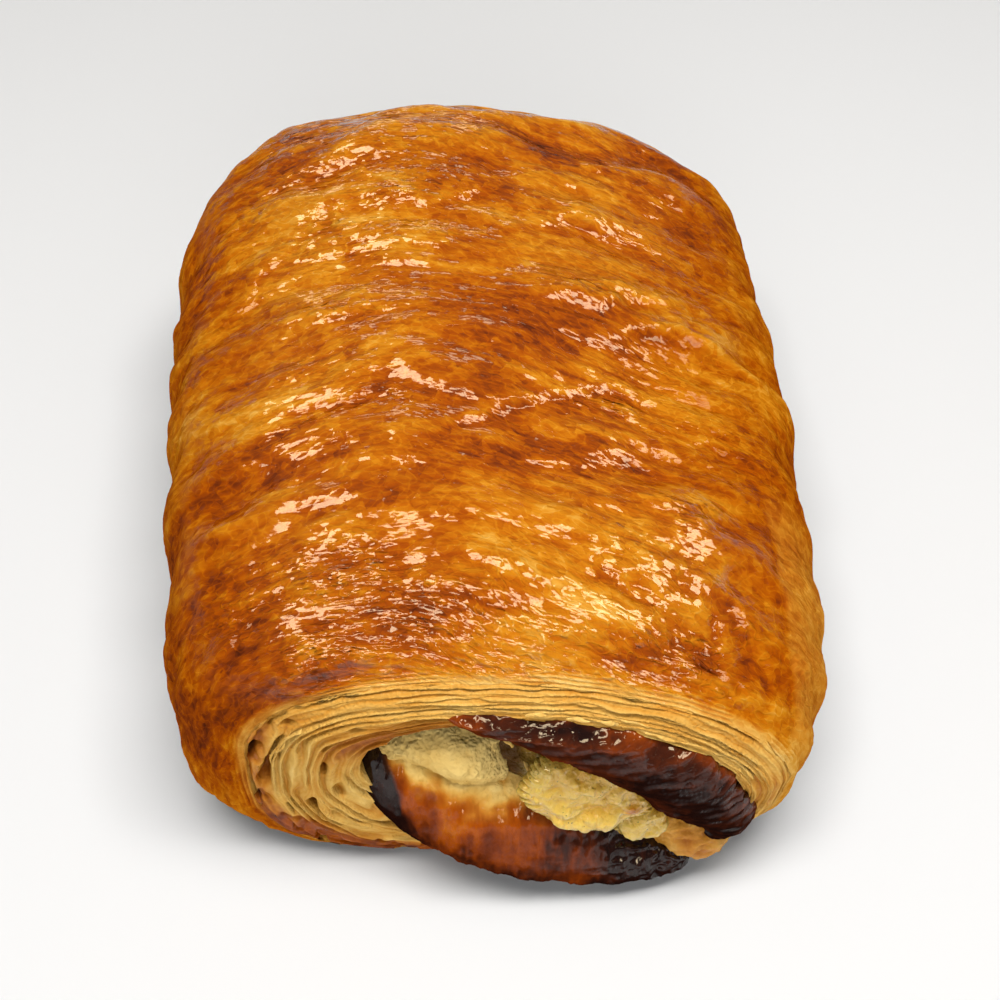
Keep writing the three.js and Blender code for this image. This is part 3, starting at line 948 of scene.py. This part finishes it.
def make_face(end, material, seed, grid):
    """The cut end's ring of baked sheets, from the rim to the mouth, closed and with a lined front."""
    rows, columns = grid
    angle = np.linspace(0, 2 * np.pi, columns, endpoint=False)
    reach_in = 1.0 + 0.12 * smooth(0.3, 0.95, -np.cos(angle))[None, :]
    share = np.linspace(0.003, 1.0, rows)[:, None] * reach_in
    base = face_point(end, angle, share)
    flat = base.copy()
    flat[..., 1] = seed
    c, s = np.cos(angle)[None, :], np.sin(angle)[None, :]
    # The sheets stand apart on the left and lie close over the top.
    open_side = smooth(-0.1, 0.75, -c) * smooth(0.92, 0.3, s)
    top = smooth(0.25, 0.8, s)
    uneven = share + 0.035 * np.sin(17 * share + 2.0 * noise(flat, 12, seed + 15))
    run = uneven * SHEETS_IN_FACE + 0.75 * noise(flat, 10, seed + 1) + 0.34 * noise(flat, 4.5, seed + 2)
    run = run + 0.09 * noise(flat, 1.5, seed + 3)
    sheet, line = np.floor(run), np.round(run)
    off = np.abs(run - line)  # 0 on a sheet's edge and 0.5 between two
    along_line = np.stack([c * 22 + 0 * line, line * 9.7, s * 22 + 0 * line], axis=-1)
    along_sheet = np.stack([c * 22 + 0 * sheet, sheet * 9.7 + 50, s * 22 + 0 * sheet], axis=-1)
    strength = 0.10 + 0.90 * smooth(-0.35, 0.45, noise(along_line, 6, seed + 4))
    hole = smooth(0.28, 0.60, noise(along_sheet, (3.6, 3, 3.6), seed + 5))
    hole = hole * open_side * smooth(0.95, 0.7, share)
    edge = np.exp(-((off / 0.13) ** 2)) * strength
    hollow = smooth(0.10, 0.48, off) * (0.25 + 0.75 * smooth(-0.4, 0.5, noise(along_sheet, 7, seed + 16)))
    step = 0.30 * noise(along_sheet, 9, seed + 6) + 0.06 * rough(flat, 2.2, seed + 7, 3)
    fine_lines = np.sin(2 * np.pi * (run * 3 + 0.8 * noise(flat, 3, seed + 9)))
    crack = np.exp(-(((share - 0.045) / 0.014) ** 2)) * smooth(-0.2, 0.5, noise(flat, 7, seed + 8)) * top
    low = smooth(13.5, 10.5, base[..., 2] + 1.2 * noise(flat, 2.5, seed + 11))
    low = low * smooth(0.55, 0.3, share) * smooth(0.6, 0.0, c)
    rim_left = smooth(0.26, 0.05, share + 0.05 * noise(flat, 2.2, seed + 17))
    rim_left = rim_left * smooth(0.1, 0.7, -c) * smooth(0.6, 0.1, s)
    pits = smooth(0.25, 0.6, noise(flat, 1.5, seed + 18)) * np.maximum(rim_left, low)
    height = 0.36 * edge - (0.30 + 0.22 * open_side + 0.20 * top) * hollow
    height = height - 2.2 * hole * smooth(0.16, 0.40, off)
    height = height + step * (1 - edge) + 0.05 * fine_lines * top - 0.6 * crack - 0.8 * pits - 0.1
    places = base.copy()
    places[..., 1] += end["side"] * height
    caramel = smooth(0.55, 0.85, share) * smooth(-0.1, 0.4, s) * smooth(0.5, -0.2, c)
    cream = top * smooth(0.55, 0.35, share)
    # Painted light and shade: paler on the sheets' edges and raised lines, browner in the hollows between them
    # and darkest in the holes.
    bake = 0.31 - 0.12 * edge + 0.15 * hollow + 0.5 * hole * smooth(0.2, 0.42, off) - 0.06 * fine_lines
    bake = bake + 0.06 * cream
    bake = bake + 0.10 * noise(along_sheet, 14, seed + 12) + 0.10 * rough(flat, 5, seed + 13, 3) + 0.4 * crack
    bake = bake + 0.20 * caramel + 0.24 * rim_left + 0.25 * pits
    bake = mix(bake, 0.70 + 0.12 * rough(flat, 2.5, seed + 14, 2), low)
    # Less crumb in the hollows turns them browner too: painted shade.
    crumb = clamp01(0.85 - 0.45 * caramel - 0.5 * rim_left - 0.20 * hollow * (1 - top)) * (1 - 0.9 * low)
    numbers = dough_numbers(bake, crumb=crumb, lively=0.35, gloss=0.45, mottle_and_painted_light=0.5)
    back = [face_point(end, angle, mix(q, q * reach_in[0], q), -depth) for q, depth in FACE_BACK]
    points = np.concatenate([places, back])
    points[..., 2] = np.maximum(points[..., 2], 0.1)
    numbers = {
        key: np.concatenate([value, np.broadcast_to(value[-1:], (len(back), columns))]).reshape(-1)
        for key, value in numbers.items()
    }
    # The grid closes on itself: its last row joins its first.
    quads = grid_faces(len(points), columns)
    i = np.arange(columns)
    j = (i + 1) % columns
    last = (len(points) - 1) * columns
    quads = np.concatenate([quads, np.stack([last + i, last + j, j, i], axis=-1)])
    return make_object(end["name"] + "_face", points.reshape(-1, 3), quads, [], numbers, material)


# Loose sheets' edges that stand out of the near face: share of the way in, from and to angle, thickness.
NEAR_STRANDS = [
    (0.22, 0.75, 2.3, 0.26),
    (0.42, 0.9, 1.9, 0.30),
    (0.55, 0.3, 1.5, 0.30),
    (0.35, -0.5, 0.7, 0.26),
    (0.70, -0.6, 0.5, 0.26),
    (0.30, 2.6, 3.2, 0.26),
    (0.66, 3.4, 4.0, 0.28),
]


# How far each point of a sheet's edge is its pale front, across its section, from one side over its front to the
# other; the sides, which turn back between the sheets, are painted darker as painted shade.
SHEET_FRONT = np.array([0.0, 0.3, 0.85, 1.0, 1.0, 0.85, 0.3, 0.0])


def make_strands(end, places, material, seed):
    """Thin sheets' edges that stand a little out of the face, as one piece of closed strips."""
    rng = np.random.default_rng(seed)
    pile = Pile()
    for k, (share, start, stop, thick) in enumerate(places):
        strip = layer_ribbon(end, share, start, stop, thick, seed + k * 11)
        bake = 0.30 + 0.10 * rng.uniform(-1, 1) + 0.16 * rough(strip, 5, seed + 70 + k)
        # Painted shade: darker on the sides of the edge.
        bake = bake + 0.12 * (1 - SHEET_FRONT)[None, :]
        pile.add(strip, dough_numbers(bake, crumb=0.8, lively=0.4, gloss=0.4))
    return pile.build(end["name"] + "_strands", material)


# ---------------------------------------------------------------- tongues, inner folds and paste


# Middle lines of the rounded forms in the mouths: x, y, z and radius.
NEAR_TONGUE = [
    (-11.0, -40.5, 19, 11.5), (-5.0, -42.0, 14.5, 12.2), (5.5, -46.2, 10.2, 9.6), (14.5, -49.5, 6.8, 6.4),
    (21.0, -50.4, 5.6, 4.7),
]
FAR_TONGUE = [(-8, 43.9, 16, 7.6), (2, 44.7, 13, 8.4), (13, 44.1, 13.5, 7)]
# The soft crumb that lies on the near tongue and fills the far mouth's upper left.
NEAR_CRUMB = [
    (-13.2, -44.6, 26.2, 2.6), (-8.6, -44.8, 27.0, 4.6), (-5.0, -45.0, 25.8, 5.0), (-2.6, -45.6, 24.0, 4.0),
    (-0.8, -46.4, 21.4, 2.6),
]
FAR_CRUMB = [(-11, 46.0, 24, 3.0), (-5, 46.0, 24.5, 5.0), (1, 46.0, 23.5, 4.0)]
# The moist dough in the near mouth's right corner.
NEAR_INNER = [
    (16.5, -47.4, 17.5, 2.5), (21.0, -48.0, 14.4, 4.4), (25.2, -48.6, 9.8, 5.2), (26.8, -48.2, 5.8, 4.2),
]


def spline(points, t):
    """Catmull-Rom through points at t from 0 to 1, for any number of columns."""
    points = np.asarray(points, float)
    padded = np.concatenate([[2 * points[0] - points[1]], points, [2 * points[-1] - points[-2]]])
    place = np.clip(t, 0, 1) * (len(points) - 1)
    i = np.minimum(place.astype(int), len(points) - 2)
    f = (place - i)[:, None]
    a, b, c, d = padded[i], padded[i + 1], padded[i + 2], padded[i + 3]
    return 0.5 * (2 * b + (c - a) * f + (2 * a - 5 * b + 4 * c - d) * f**2 + (3 * b - a - 3 * c + d) * f**3)


def sausage(centres, rows, around):
    """A fat rounded form along centres (x, y, z, radius), as a grid, and each row's share of the way."""
    lean = math.pi * np.linspace(0.02, 0.98, rows)
    t = (1 - np.cos(lean)) / 2
    along = spline(centres, t)
    middle, radius = along[:, :3], along[:, 3]
    ahead = np.gradient(middle, axis=0)
    ahead /= np.linalg.norm(ahead, axis=1, keepdims=True)
    side = np.cross([0, 0, 1], ahead)
    side /= np.linalg.norm(side, axis=1, keepdims=True)
    over = np.cross(ahead, side)
    girth = radius * np.sin(lean) ** 0.55
    reach = -0.8 * radius * np.cos(lean) ** 3
    a = np.linspace(0, 2 * np.pi, around, endpoint=False)
    ring = side[:, None] * np.cos(a)[None, :, None] + over[:, None] * np.sin(a)[None, :, None]
    return middle[:, None] + ahead[:, None] * reach[:, None, None] + ring * girth[:, None, None], t


def outward(points):
    """Unit normals of a tube-like grid, turned away from its middle line."""
    n = grid_normals(points)
    away = points - points.mean(axis=1, keepdims=True)
    return n * np.sign((n * away).sum(-1, keepdims=True).mean())


def make_tongue(end, centres, material, tips):
    """The thick fold that lies across the mouth. tips: x of the two ends of its plain brown part."""
    base = sausage(centres, *TONGUE_GRID)[0]
    out = outward(base)
    x, z = base[..., 0], base[..., 2]
    up = out[..., 2]
    # Towards the soft crumb above it the fold turns pale, matt and grainy.
    streaks = rough(base, (1.3, 5.0, 6.0), 306, 3)
    crumb_line = end["crumbTop"] + np.interp(x, (-15, -9, -3, 3, 7), (-0.5, -2.8, -4.6, -5.0, -7))
    left_tip = smooth(tips[0] + 2.4, tips[0] - 1.2, x + 0.15 * (z - 15) + 0.8 * noise(base, 3.5, 309))
    right_tip = smooth(tips[1] - 6.0, tips[1] + 3.0, x + 0.9 * noise(base, 4, 310))
    pale = smooth(-2.6, 1.4, z - crumb_line + 0.5 * streaks + 1.1 * rough(base, 2.2, 336, 2))
    pale = pale * (1 - left_tip) * smooth(10, 5, x)
    # Fine threads run across the fold, from its crumb down to its underside.
    threads = ridged(base, (0.9, 2.0, 3.2), 302, 2) * 0.14 + ridged(base, (2.4, 3.4, 5.0), 308, 2) * 0.22
    grains = 0.34 * billow(base, 1.3, 331, 2) + 0.24 * rough(base, 0.8, 332, 2) + 0.4 * rough(base, 3, 333, 2)
    crusty = mix(threads, grains, pale) + 0.45 * rough(base, (7, 5, 7), 303, 2)
    blistered = 0.45 * ridged(base, (1.8, 1.5, 1.8), 311, 2)
    relief = mix(mix(crusty, crusty * 0.6, left_tip), blistered, right_tip)
    places = base + out * relief[..., None]
    places[..., 2] = np.maximum(places[..., 2], 0.05)
    orange = smooth(-0.25, 0.55, up + 0.25 * noise(base, 4, 301)) * smooth(tips[1] - 4, tips[0] + 12, x)
    orange = orange * (1 - left_tip)
    bake = 0.86 - 0.21 * orange + 0.04 * streaks - 0.40 * threads + 0.05 * rough(base, 6, 335, 2)
    bake = bake + 0.36 * left_tip + 0.26 * right_tip + 0.10 * smooth(0.0, -0.6, up)
    crumb_bake = 0.18 + 0.10 * rough(base, 3, 334, 2) - 0.30 * (grains - 0.15)
    bake = mix(bake, crumb_bake, smooth(0.2, 1.0, pale))
    gloss = mix(0.6, 1.0, np.maximum(left_tip, right_tip)) * smooth(0.0, 0.5, outward(places)[..., 2])
    gloss = gloss * (1 - 0.7 * pale)
    lively = 0.6 - 0.25 * left_tip
    numbers = dough_numbers(bake, crumb=pale, lively=lively, gloss=gloss, mottle_and_painted_light=0.22)
    return tube(places, numbers, end["name"] + "_tongue", material)


def make_crumb(end, centres, material, seed):
    """Soft pale crumb with a torn, grainy face."""
    base, t = sausage(centres, *CRUMB_GRID)
    out = outward(base)
    grains = 0.24 * billow(base, 1.3, seed + 1, 2) + 0.16 * rough(base, 0.8, seed, 2)
    lumps = 0.6 * rough(base, 5, seed + 2, 2)
    places = base + out * (grains + lumps)[..., None]
    right = smooth(0.35, 0.8, t)[:, None]
    bake = 0.05 + 0.10 * rough(base, 3, seed + 3, 3) - 0.20 * (grains - 0.12) - 0.05 * right
    bake = bake + 0.16 * smooth(0.2, -0.6, out[..., 2])
    numbers = dough_numbers(bake, crumb=1.0, lively=0.3, gloss=0.2, mottle_and_painted_light=0.25)
    return tube(places, numbers, end["name"] + "_crumb", material)


def make_inner(material):
    """The moist olive-brown dough in the near mouth's right corner."""
    base = sausage(NEAR_INNER, *INNER_GRID)[0]
    out = outward(base)
    relief = 0.35 * rough(base, 3.2, 351, 3) + 0.45 * ridged(base, (2.6, 2, 1.1), 352, 2)
    places = base + out * relief[..., None]
    places[..., 2] = np.maximum(places[..., 2], 0.1)
    bake = 0.50 + 0.14 * rough(base, 3, 353, 3) - 0.30 * (relief - 0.1)
    return tube(places, dough_numbers(bake, crumb=0.75, gloss=1.0), "near_inner_dough", material)


# The scorched fold round the mouth's upper right: x, z, half its width, how far it stands out of the cut end.
NEAR_FOLD = [
    (-9, 39, 0.8, 0.2),
    (-3, 38.5, 2.0, 0.8),
    (7, 36, 3.6, 1.6),
    (16, 31.0, 5.0, 2.2),
    (23, 25.0, 5.6, 2.4),
    (27.5, 18, 4.6, 2.0),
    (28.0, 10.5, 3.4, 1.2),
    (26.5, 4.5, 2.4, 0.6),
]
FAR_FOLD = [
    (-9, 34, 0.8, 0.2),
    (0, 34.5, 2.4, 1.2),
    (10, 32.5, 3.4, 1.6),
    (18, 28, 3.6, 1.6),
    (22, 21, 2.8, 1.0),
    (21, 14, 1.6, 0.4),
]


def make_fold(end, places_list, material, seed):
    """A browned lip of dough that rounds the mouth's upper side."""
    rows, around = FOLD_GRID
    t = np.linspace(0, 1, rows)
    run = spline(places_list, t)
    x, z, half, out = run.T
    a = np.linspace(0, 2 * np.pi, around, endpoint=False)
    ahead = np.gradient(run[:, :2], axis=0)
    ahead /= np.linalg.norm(ahead, axis=1, keepdims=True)
    across = np.stack([-ahead[:, 1], ahead[:, 0]], axis=-1)
    ends = np.sqrt(np.clip(np.sin(np.pi * np.linspace(0.01, 0.99, rows)) * 2.2, 0, 1))
    half = half * ends
    deep = 3.6 * ends
    face = end["rimY"] + cut_skew(end, x, z) + end["side"] * (end["faceBulge"] * 0.9 + out - 2.6)
    grid = np.zeros((rows, around, 3))
    grid[..., 0] = x[:, None] + across[:, :1] * np.cos(a) * half[:, None]
    grid[..., 2] = z[:, None] + across[:, 1:] * np.cos(a) * half[:, None]
    grid[..., 1] = face[:, None] + end["side"] * np.sin(a) * deep[:, None]
    normal = outward(grid)
    wrinkles = 0.24 * ridged(grid, (5, 4, 1.6), seed + 5, 2)
    wrinkles = wrinkles + 0.20 * ridged(grid, (2.2, 1.8, 1.2), seed + 1, 2)
    relief = 0.42 * rough(grid, (6, 4, 5), seed, 2) + wrinkles
    grid = grid + normal * relief[..., None]
    grid[..., 2] = np.maximum(grid[..., 2], 0.1)
    start = smooth(0.0, 0.20, t)[:, None]
    across_it = np.cos(a)[None, :]
    core = bump((across_it + 0.10) / 0.75) * smooth(0.25, 0.50, t)[:, None] * smooth(0.99, 0.82, t)[:, None]
    edge = smooth(0.80, 1.0, np.abs(across_it))
    bake = 0.69 + 0.18 * start + 0.20 * core - 0.08 * edge - 0.25 * (wrinkles - 0.12)
    bake = bake + 0.09 * rough(grid, (7, 5, 2.4), seed + 2, 3)
    gloss = smooth(0.1, 0.6, outward(grid)[..., 2])
    numbers = dough_numbers(bake, lively=0.6, gloss=gloss, mottle_and_painted_light=0.22)
    return tube(grid, numbers, end["name"] + "_fold", material)


PASTE = dict(
    left=(-3, 25.5), right=(12.5, 19.5), thinHalf=4.6, fatHalf=7.6, endLeft=4.2, endRight=6.4,
    nearLeftY=-46.6, nearRightY=-50.8, farY=49.1, roundOff=5, lump=0.55,
)


def paste_surface(cap_rows, rows, around):
    half = (PASTE["right"][0] - PASTE["left"][0]) / 2
    angle = np.linspace(0, 2 * np.pi, around, endpoint=False)
    share = (np.cos(angle) + 1) / 2
    span = PASTE["farY"] - PASTE["nearLeftY"]
    cap = PASTE["roundOff"]
    turns = (np.arange(cap_rows) + 0.15) / cap_rows * (np.pi / 2)
    stations = [(phi, cap * (1 - math.cos(phi)), True) for phi in turns]
    stations += [(math.pi / 2, mix(cap, span - cap, ((i + 1) / (rows + 1)) ** 2), True) for i in range(rows)]
    stations += [(phi, cap * (1 - math.cos(phi)), False) for phi in turns[::-3]]
    grid = []
    for phi, inwards, from_near in stations:
        near_y = mix(PASTE["nearLeftY"], PASTE["nearRightY"], share) + inwards
        y = near_y if from_near else np.full(around, PASTE["farY"] - inwards)
        lump = PASTE["lump"] * unevenness(angle * 2, y * 2.2, 2.1)
        fat = mix(PASTE["thinHalf"], PASTE["fatHalf"], share**1.3) + lump
        long = half + mix(PASTE["endLeft"], PASTE["endRight"], share) + lump
        x = mix(PASTE["left"][0], PASTE["right"][0], 0.5) + np.cos(angle) * long * mix(0.35, 1, math.sin(phi))
        z = mix(PASTE["left"][1], PASTE["right"][1], share) + np.sin(angle) * fat * math.sin(phi)
        grid.append(np.stack([x, y, z], axis=-1))
    return np.array(grid)


def paste_numbers(base, out, relief, seed):
    spot = bump(np.hypot((base[..., 0] - 14.8) / 1.5, (base[..., 2] - 20.6) / 1.5)) * (base[..., 1] < -40)
    top = smooth(0.1, 0.9, out[..., 2])
    return 0.16 + 0.20 * top + 0.10 * relief + 0.75 * spot + 0.14 * rough(base, 4, seed, 2)


def make_paste(material):
    """The band of paste that runs through the roll, with a pimpled face and a frilled near edge."""
    base = paste_surface(PASTE_CAP_RINGS, PASTE_BODY_RINGS, PASTE_COLUMNS)
    out = outward(base)
    angle = np.linspace(0, 2 * np.pi, base.shape[1], endpoint=False)[None, :]
    frill = np.abs(np.sin(48 * angle + 1.3 * noise(base, 2.5, 405)))
    frill = (frill - 0.4) * smooth(-46, -48.5, base[..., 1])
    frill = frill * smooth(0.35, 0.75, np.linalg.norm(out[..., ::2], axis=-1))
    pimples = billow(base, 1.6, 401, 1) * 0.22 + billow(base, 3.2, 402, 2) * 0.5
    pimples = pimples + 0.45 * rough(base, 6, 403, 2) - 0.2
    places = base + out * (pimples + 0.30 * frill)[..., None]
    # Left of its leaf the paste lies in the mouth's cavity and is painted dark: painted shade.
    cavity_shade = smooth(4.5, 1.5, base[..., 0]) * smooth(-40, -44, base[..., 1])
    numbers = {"bake": np.clip(paste_numbers(base, out, pimples, 404), 0, 1), "cavity_shade": cavity_shade}
    return tube(places, numbers, "durian_paste_fill", material)


# Leaves of paste at the near end: middle, right tip, left end and upper edge, then half the thickness, 1 where
# it has a toasted spot, seed, and rings and columns.
LEAVES = {
    "durian_paste_leaf": (
        (10.4, -50.8, 23.0), (17.8, -51.4, 18.6), (3.2, -49.2, 27.2), (12.6, -48.6, 28.2),
        2.6, 1, 421, (92, 300),
    ),
    "durian_paste_small": (
        (18.0, -51.4, 15.6), (21.6, -51.0, 14.2), (14.2, -51.2, 16.4), (19.0, -50.2, 18.2),
        1.3, 0, 441, (56, 180),
    ),
}


def make_leaf(name, material):
    """A leaf-shaped lump of paste with a frilled edge, its face turned up and outwards."""
    middle, tip, tail, top, thick, spotted, seed, (rings, around) = LEAVES[name]
    middle, tip, tail, top = (np.array(v, float) for v in (middle, tip, tail, top))
    long = tip - tail
    length = np.linalg.norm(long)
    long /= length
    wide = top - middle
    wide -= long * (wide @ long)
    width = 2 * np.linalg.norm(wide)
    wide /= width / 2
    look = np.cross(long, wide)
    look *= -np.sign(look[1])
    a = np.linspace(0, 2 * np.pi, around, endpoint=False)
    lean = np.linspace(0.01, np.pi - 0.01, rings)
    out = np.sin(lean)[:, None] ** 0.8
    frill = np.abs(np.sin(a * length * 1.35 + 1.1 * np.sin(3 * a + seed))) - 0.5
    frill = frill * (1 + 0.5 * np.sin(7 * a + seed))
    lower = 0.35 + 0.65 * smooth(0.3, -0.2, np.sin(a))
    edge = 1 + (0.62 * frill * lower / (width / 2))[None, :] * smooth(0.88, 1.0, out)
    edge = edge + 0.05 * np.sin(2 * a + seed)[None, :] + 0.05 * np.sin(5 * a + 1)[None, :]
    pointed = 1 - 0.12 * np.cos(a)
    u = np.cos(a)[None, :] * out * edge * length / 2
    v = (np.sign(np.sin(a)) * np.abs(np.sin(a)) ** 1.3)[None, :] * out * edge * pointed[None, :] * width / 2
    h = np.cos(lean)[:, None] * thick + 0 * u
    grid = middle + u[..., None] * long + v[..., None] * wide + h[..., None] * look
    normal = outward(grid)
    pimples = 0.75 * rough(grid, 3.2, seed, 3) + 0.20 * billow(grid, 1.7, seed + 1, 1)
    grid = grid + normal * (pimples * smooth(1.0, 0.8, out) + 0.3 * pimples)[..., None]
    spot = spotted * bump(np.hypot((u - 0.36 * length) / 1.1, (v - 0.02 * width) / 0.9)) * (h > 0)
    bake = 0.10 + 0.26 * smooth(-0.2, 1.0, v / width * 2) + 0.10 * rough(grid, 3, seed + 3, 2) + 0.75 * spot
    numbers = {"bake": np.clip(bake - 0.2 * (pimples - 0.1), 0, 1), "cavity_shade": np.zeros(bake.shape)}
    return tube(grid, numbers, name, material)


# Loose flakes at the near end: middle, the way the long side lies, the way the face looks, length, width,
# bend and browning.
FLAKES = [
    ((3.5, -50.6, 41.0), (1, 0.05, -0.12), (0, -0.8, 0.6), 2.6, 0.45, 0.3, 0.14),
    ((8.4, -51.0, 40.3), (1, 0.05, -0.25), (0, -0.7, 0.7), 3.0, 0.5, -0.3, 0.10),
    ((12.2, -51.2, 39.3), (1, 0.02, -0.4), (0, -0.8, 0.6), 2.2, 0.6, 0.4, 0.12),
    ((0.6, -47.6, 29.4), (0.5, -0.2, -0.8), (0.3, -0.8, 0.4), 2.6, 0.6, 0.9, 0.22),
    ((3.0, -49.6, 26.4), (0.3, -0.3, -0.9), (0.6, -0.7, 0.2), 2.2, 0.5, 1.2, 0.16),
    ((25.4, -52.6, 8.6), (0.9, 0.1, 0.45), (0, -0.6, 0.8), 2.8, 0.8, 0.1, 0.10),
    ((29.5, -51.5, 29.0), (0.6, 0.3, -0.7), (0.4, -0.7, 0.6), 3.5, 0.5, 0.5, 0.34),
]


def make_flakes(material):
    """Thin torn flakes, each a closed curved leaf."""
    pile = Pile()
    rng = np.random.default_rng(77)
    rows, half = 26, 9
    for k, (middle, lie, look, length, width, bend, brown) in enumerate(FLAKES):
        lie, look = np.array(lie, float), np.array(look, float)
        lie /= np.linalg.norm(lie)
        side = np.cross(look, lie)
        side /= np.linalg.norm(side)
        look = np.cross(lie, side)
        t = np.linspace(-1, 1, rows)
        taper = np.sqrt(np.clip(1 - np.abs(t) ** 2.6, 0.02, 1)) * (1 + 0.25 * np.sin(t * 5 + k))
        across = np.concatenate([np.linspace(-1, 1, half), np.linspace(1, -1, half)])
        upper = np.concatenate([np.ones(half), -np.ones(half)]) * np.sqrt(np.clip(1.02 - across**2, 0.02, 1))
        place = np.array(middle, float) + lie * (t * length / 2)[:, None]
        place = place + look * (-bend * t**2 * length * 0.18)[:, None]
        grid = place[:, None] + side * (across[None, :] * taper[:, None] * width / 2)[..., None]
        raised = upper[None, :] * 0.08 - 0.25 * across[None, :] ** 2 * bend * width * 0.3
        grid = grid + look * raised[..., None]
        grid = grid + 0.22 * noise3(grid, 1.6, 701)
        bake = brown + 0.10 * rough(grid, 1.5, 704) + rng.uniform(-0.03, 0.03)
        pile.add(grid, dough_numbers(bake, crumb=0.8, lively=0.6, gloss=0.4))
    return pile.build("near_flakes", material)


# ---------------------------------------------------------------- floor, light and camera


FLOOR_COLOUR = (0.85, 0.865, 0.885, 1)
WORLD_LIGHT = 0.08
LIGHTS_AIM = (0, 0, 0.02)
SHINE_COLOUR = (1.0, 0.80, 0.52)
# Small warm lights that only the glaze mirrors, for its glints: name, place, width and height, power.
SHINE_LIGHTS = (
    ("over", (0.03, -0.10, 0.60), (0.66, 0.10), 3.3),
    ("glint_left", (-0.32, 0.02, 0.52), (0.30, 0.18), 2.9),
    ("glint_right", (0.45, 0.00, 0.49), (0.30, 0.16), 2.6),
    ("glint_front", (-0.10, -0.50, 0.44), (0.08, 0.06), 0.3),
    ("glint_low", (-0.06, -0.62, 0.28), (0.10, 0.06), 0.35),
    ("behind", (-0.05, 0.62, 0.22), (0.34, 0.08), 0.4),
)
# Broad lights that it doesn't mirror, for the forms: name, place, width and height, power, colour.
FORM_LIGHTS = (
    ("key", (0.02, -0.10, 0.60), (0.50, 0.16), 3.8, (1.0, 0.975, 0.94)),
    ("fill", (0.02, -0.60, 0.36), (0.50, 0.30), 1.2, (1, 1, 1)),
)

# The photograph's camera, found by fitting the roll's outline to it: where it stands in millimetres and how
# it is turned, with a lens for a film 36 mm wide.
CAMERA_PLACE = (-8.42, -156.33, 218.26)
CAMERA_RIGHT = (0.9982, -0.0599, 0.0074)
CAMERA_UP = (0.0427, 0.7873, 0.6151)
CAMERA_AHEAD = (0.0427, 0.6137, -0.7884)
CAMERA_LENS = 63


def make_floor():
    bpy.ops.mesh.primitive_plane_add(size=4, location=(0, 0, -0.0001))
    floor = bpy.context.object
    floor.name = "floor"
    n = Nodes("pale_floor")
    n.shader.inputs["Base Color"].default_value = FLOOR_COLOUR
    n.shader.inputs["Roughness"].default_value = 0.9
    floor.data.materials.append(n.material)


def area_light(name, place, size, power, colour):
    data = bpy.data.lights.new(name, "AREA")
    data.shape = "RECTANGLE"
    data.size, data.size_y = size
    data.energy = power
    data.color = colour
    light = bpy.data.objects.new(name, data)
    light.location = place
    light.rotation_euler = (Vector(LIGHTS_AIM) - Vector(place)).to_track_quat("-Z", "Y").to_euler()
    bpy.context.scene.collection.objects.link(light)
    return light


def make_light():
    world = bpy.data.worlds.new("studio")
    bpy.context.scene.world = world
    world.use_nodes = True
    world.node_tree.nodes["Background"].inputs["Color"].default_value = (1, 1, 1, 1)
    world.node_tree.nodes["Background"].inputs["Strength"].default_value = WORLD_LIGHT
    for name, place, size, power in SHINE_LIGHTS:
        area_light(name, place, size, power, SHINE_COLOUR).visible_diffuse = False
    for name, place, size, power, colour in FORM_LIGHTS:
        area_light(name, place, size, power, colour).visible_glossy = False


def make_camera():
    data = bpy.data.cameras.new("camera")
    data.sensor_width = 36
    data.lens = CAMERA_LENS
    data.clip_start = 0.01
    camera = bpy.data.objects.new("camera", data)
    turned = Matrix((Vector(CAMERA_RIGHT), Vector(CAMERA_UP), -Vector(CAMERA_AHEAD))).transposed().to_4x4()
    camera.matrix_world = Matrix.Translation(Vector(CAMERA_PLACE) * MM) @ turned
    bpy.context.scene.collection.objects.link(camera)
    bpy.context.scene.camera = camera


make_camera()
make_light()
make_floor()
bpy.context.scene.view_settings.view_transform = "Standard"
bpy.context.scene.view_settings.look = "None"
# Light that has turned back from two surfaces adds next to nothing here.
bpy.context.scene.cycles.max_bounces = 2
bpy.context.scene.cycles.diffuse_bounces = 1
bpy.context.scene.cycles.glossy_bounces = 2

dough = dough_material("baked_dough", 1)
dough_across = dough_material("baked_dough_across", 0)
dough_along = dough_material("baked_dough_along", 2)
paste = paste_material()
for piece in (
    make_crust(dough),
    make_face(NEAR_END, dough, 500, NEAR_FACE_GRID),
    make_strands(NEAR_END, NEAR_STRANDS, dough, 540),
    make_face(FAR_END, dough, 900, FAR_FACE_GRID),
    make_tongue(NEAR_END, NEAR_TONGUE, dough_across, (-12.8, 14.6)),
    make_tongue(FAR_END, FAR_TONGUE, dough_across, (-14.0, 14.0)),
    make_crumb(NEAR_END, NEAR_CRUMB, dough, 320),
    make_crumb(FAR_END, FAR_CRUMB, dough, 340),
    make_inner(dough),
    make_fold(NEAR_END, NEAR_FOLD, dough_along, 600),
    make_fold(FAR_END, FAR_FOLD, dough_along, 650),
    make_flakes(dough),
):
    piece_of(piece, "dough")
for piece in (make_paste(paste), *(make_leaf(name, paste) for name in LEAVES)):
    piece_of(piece, "durian_paste")
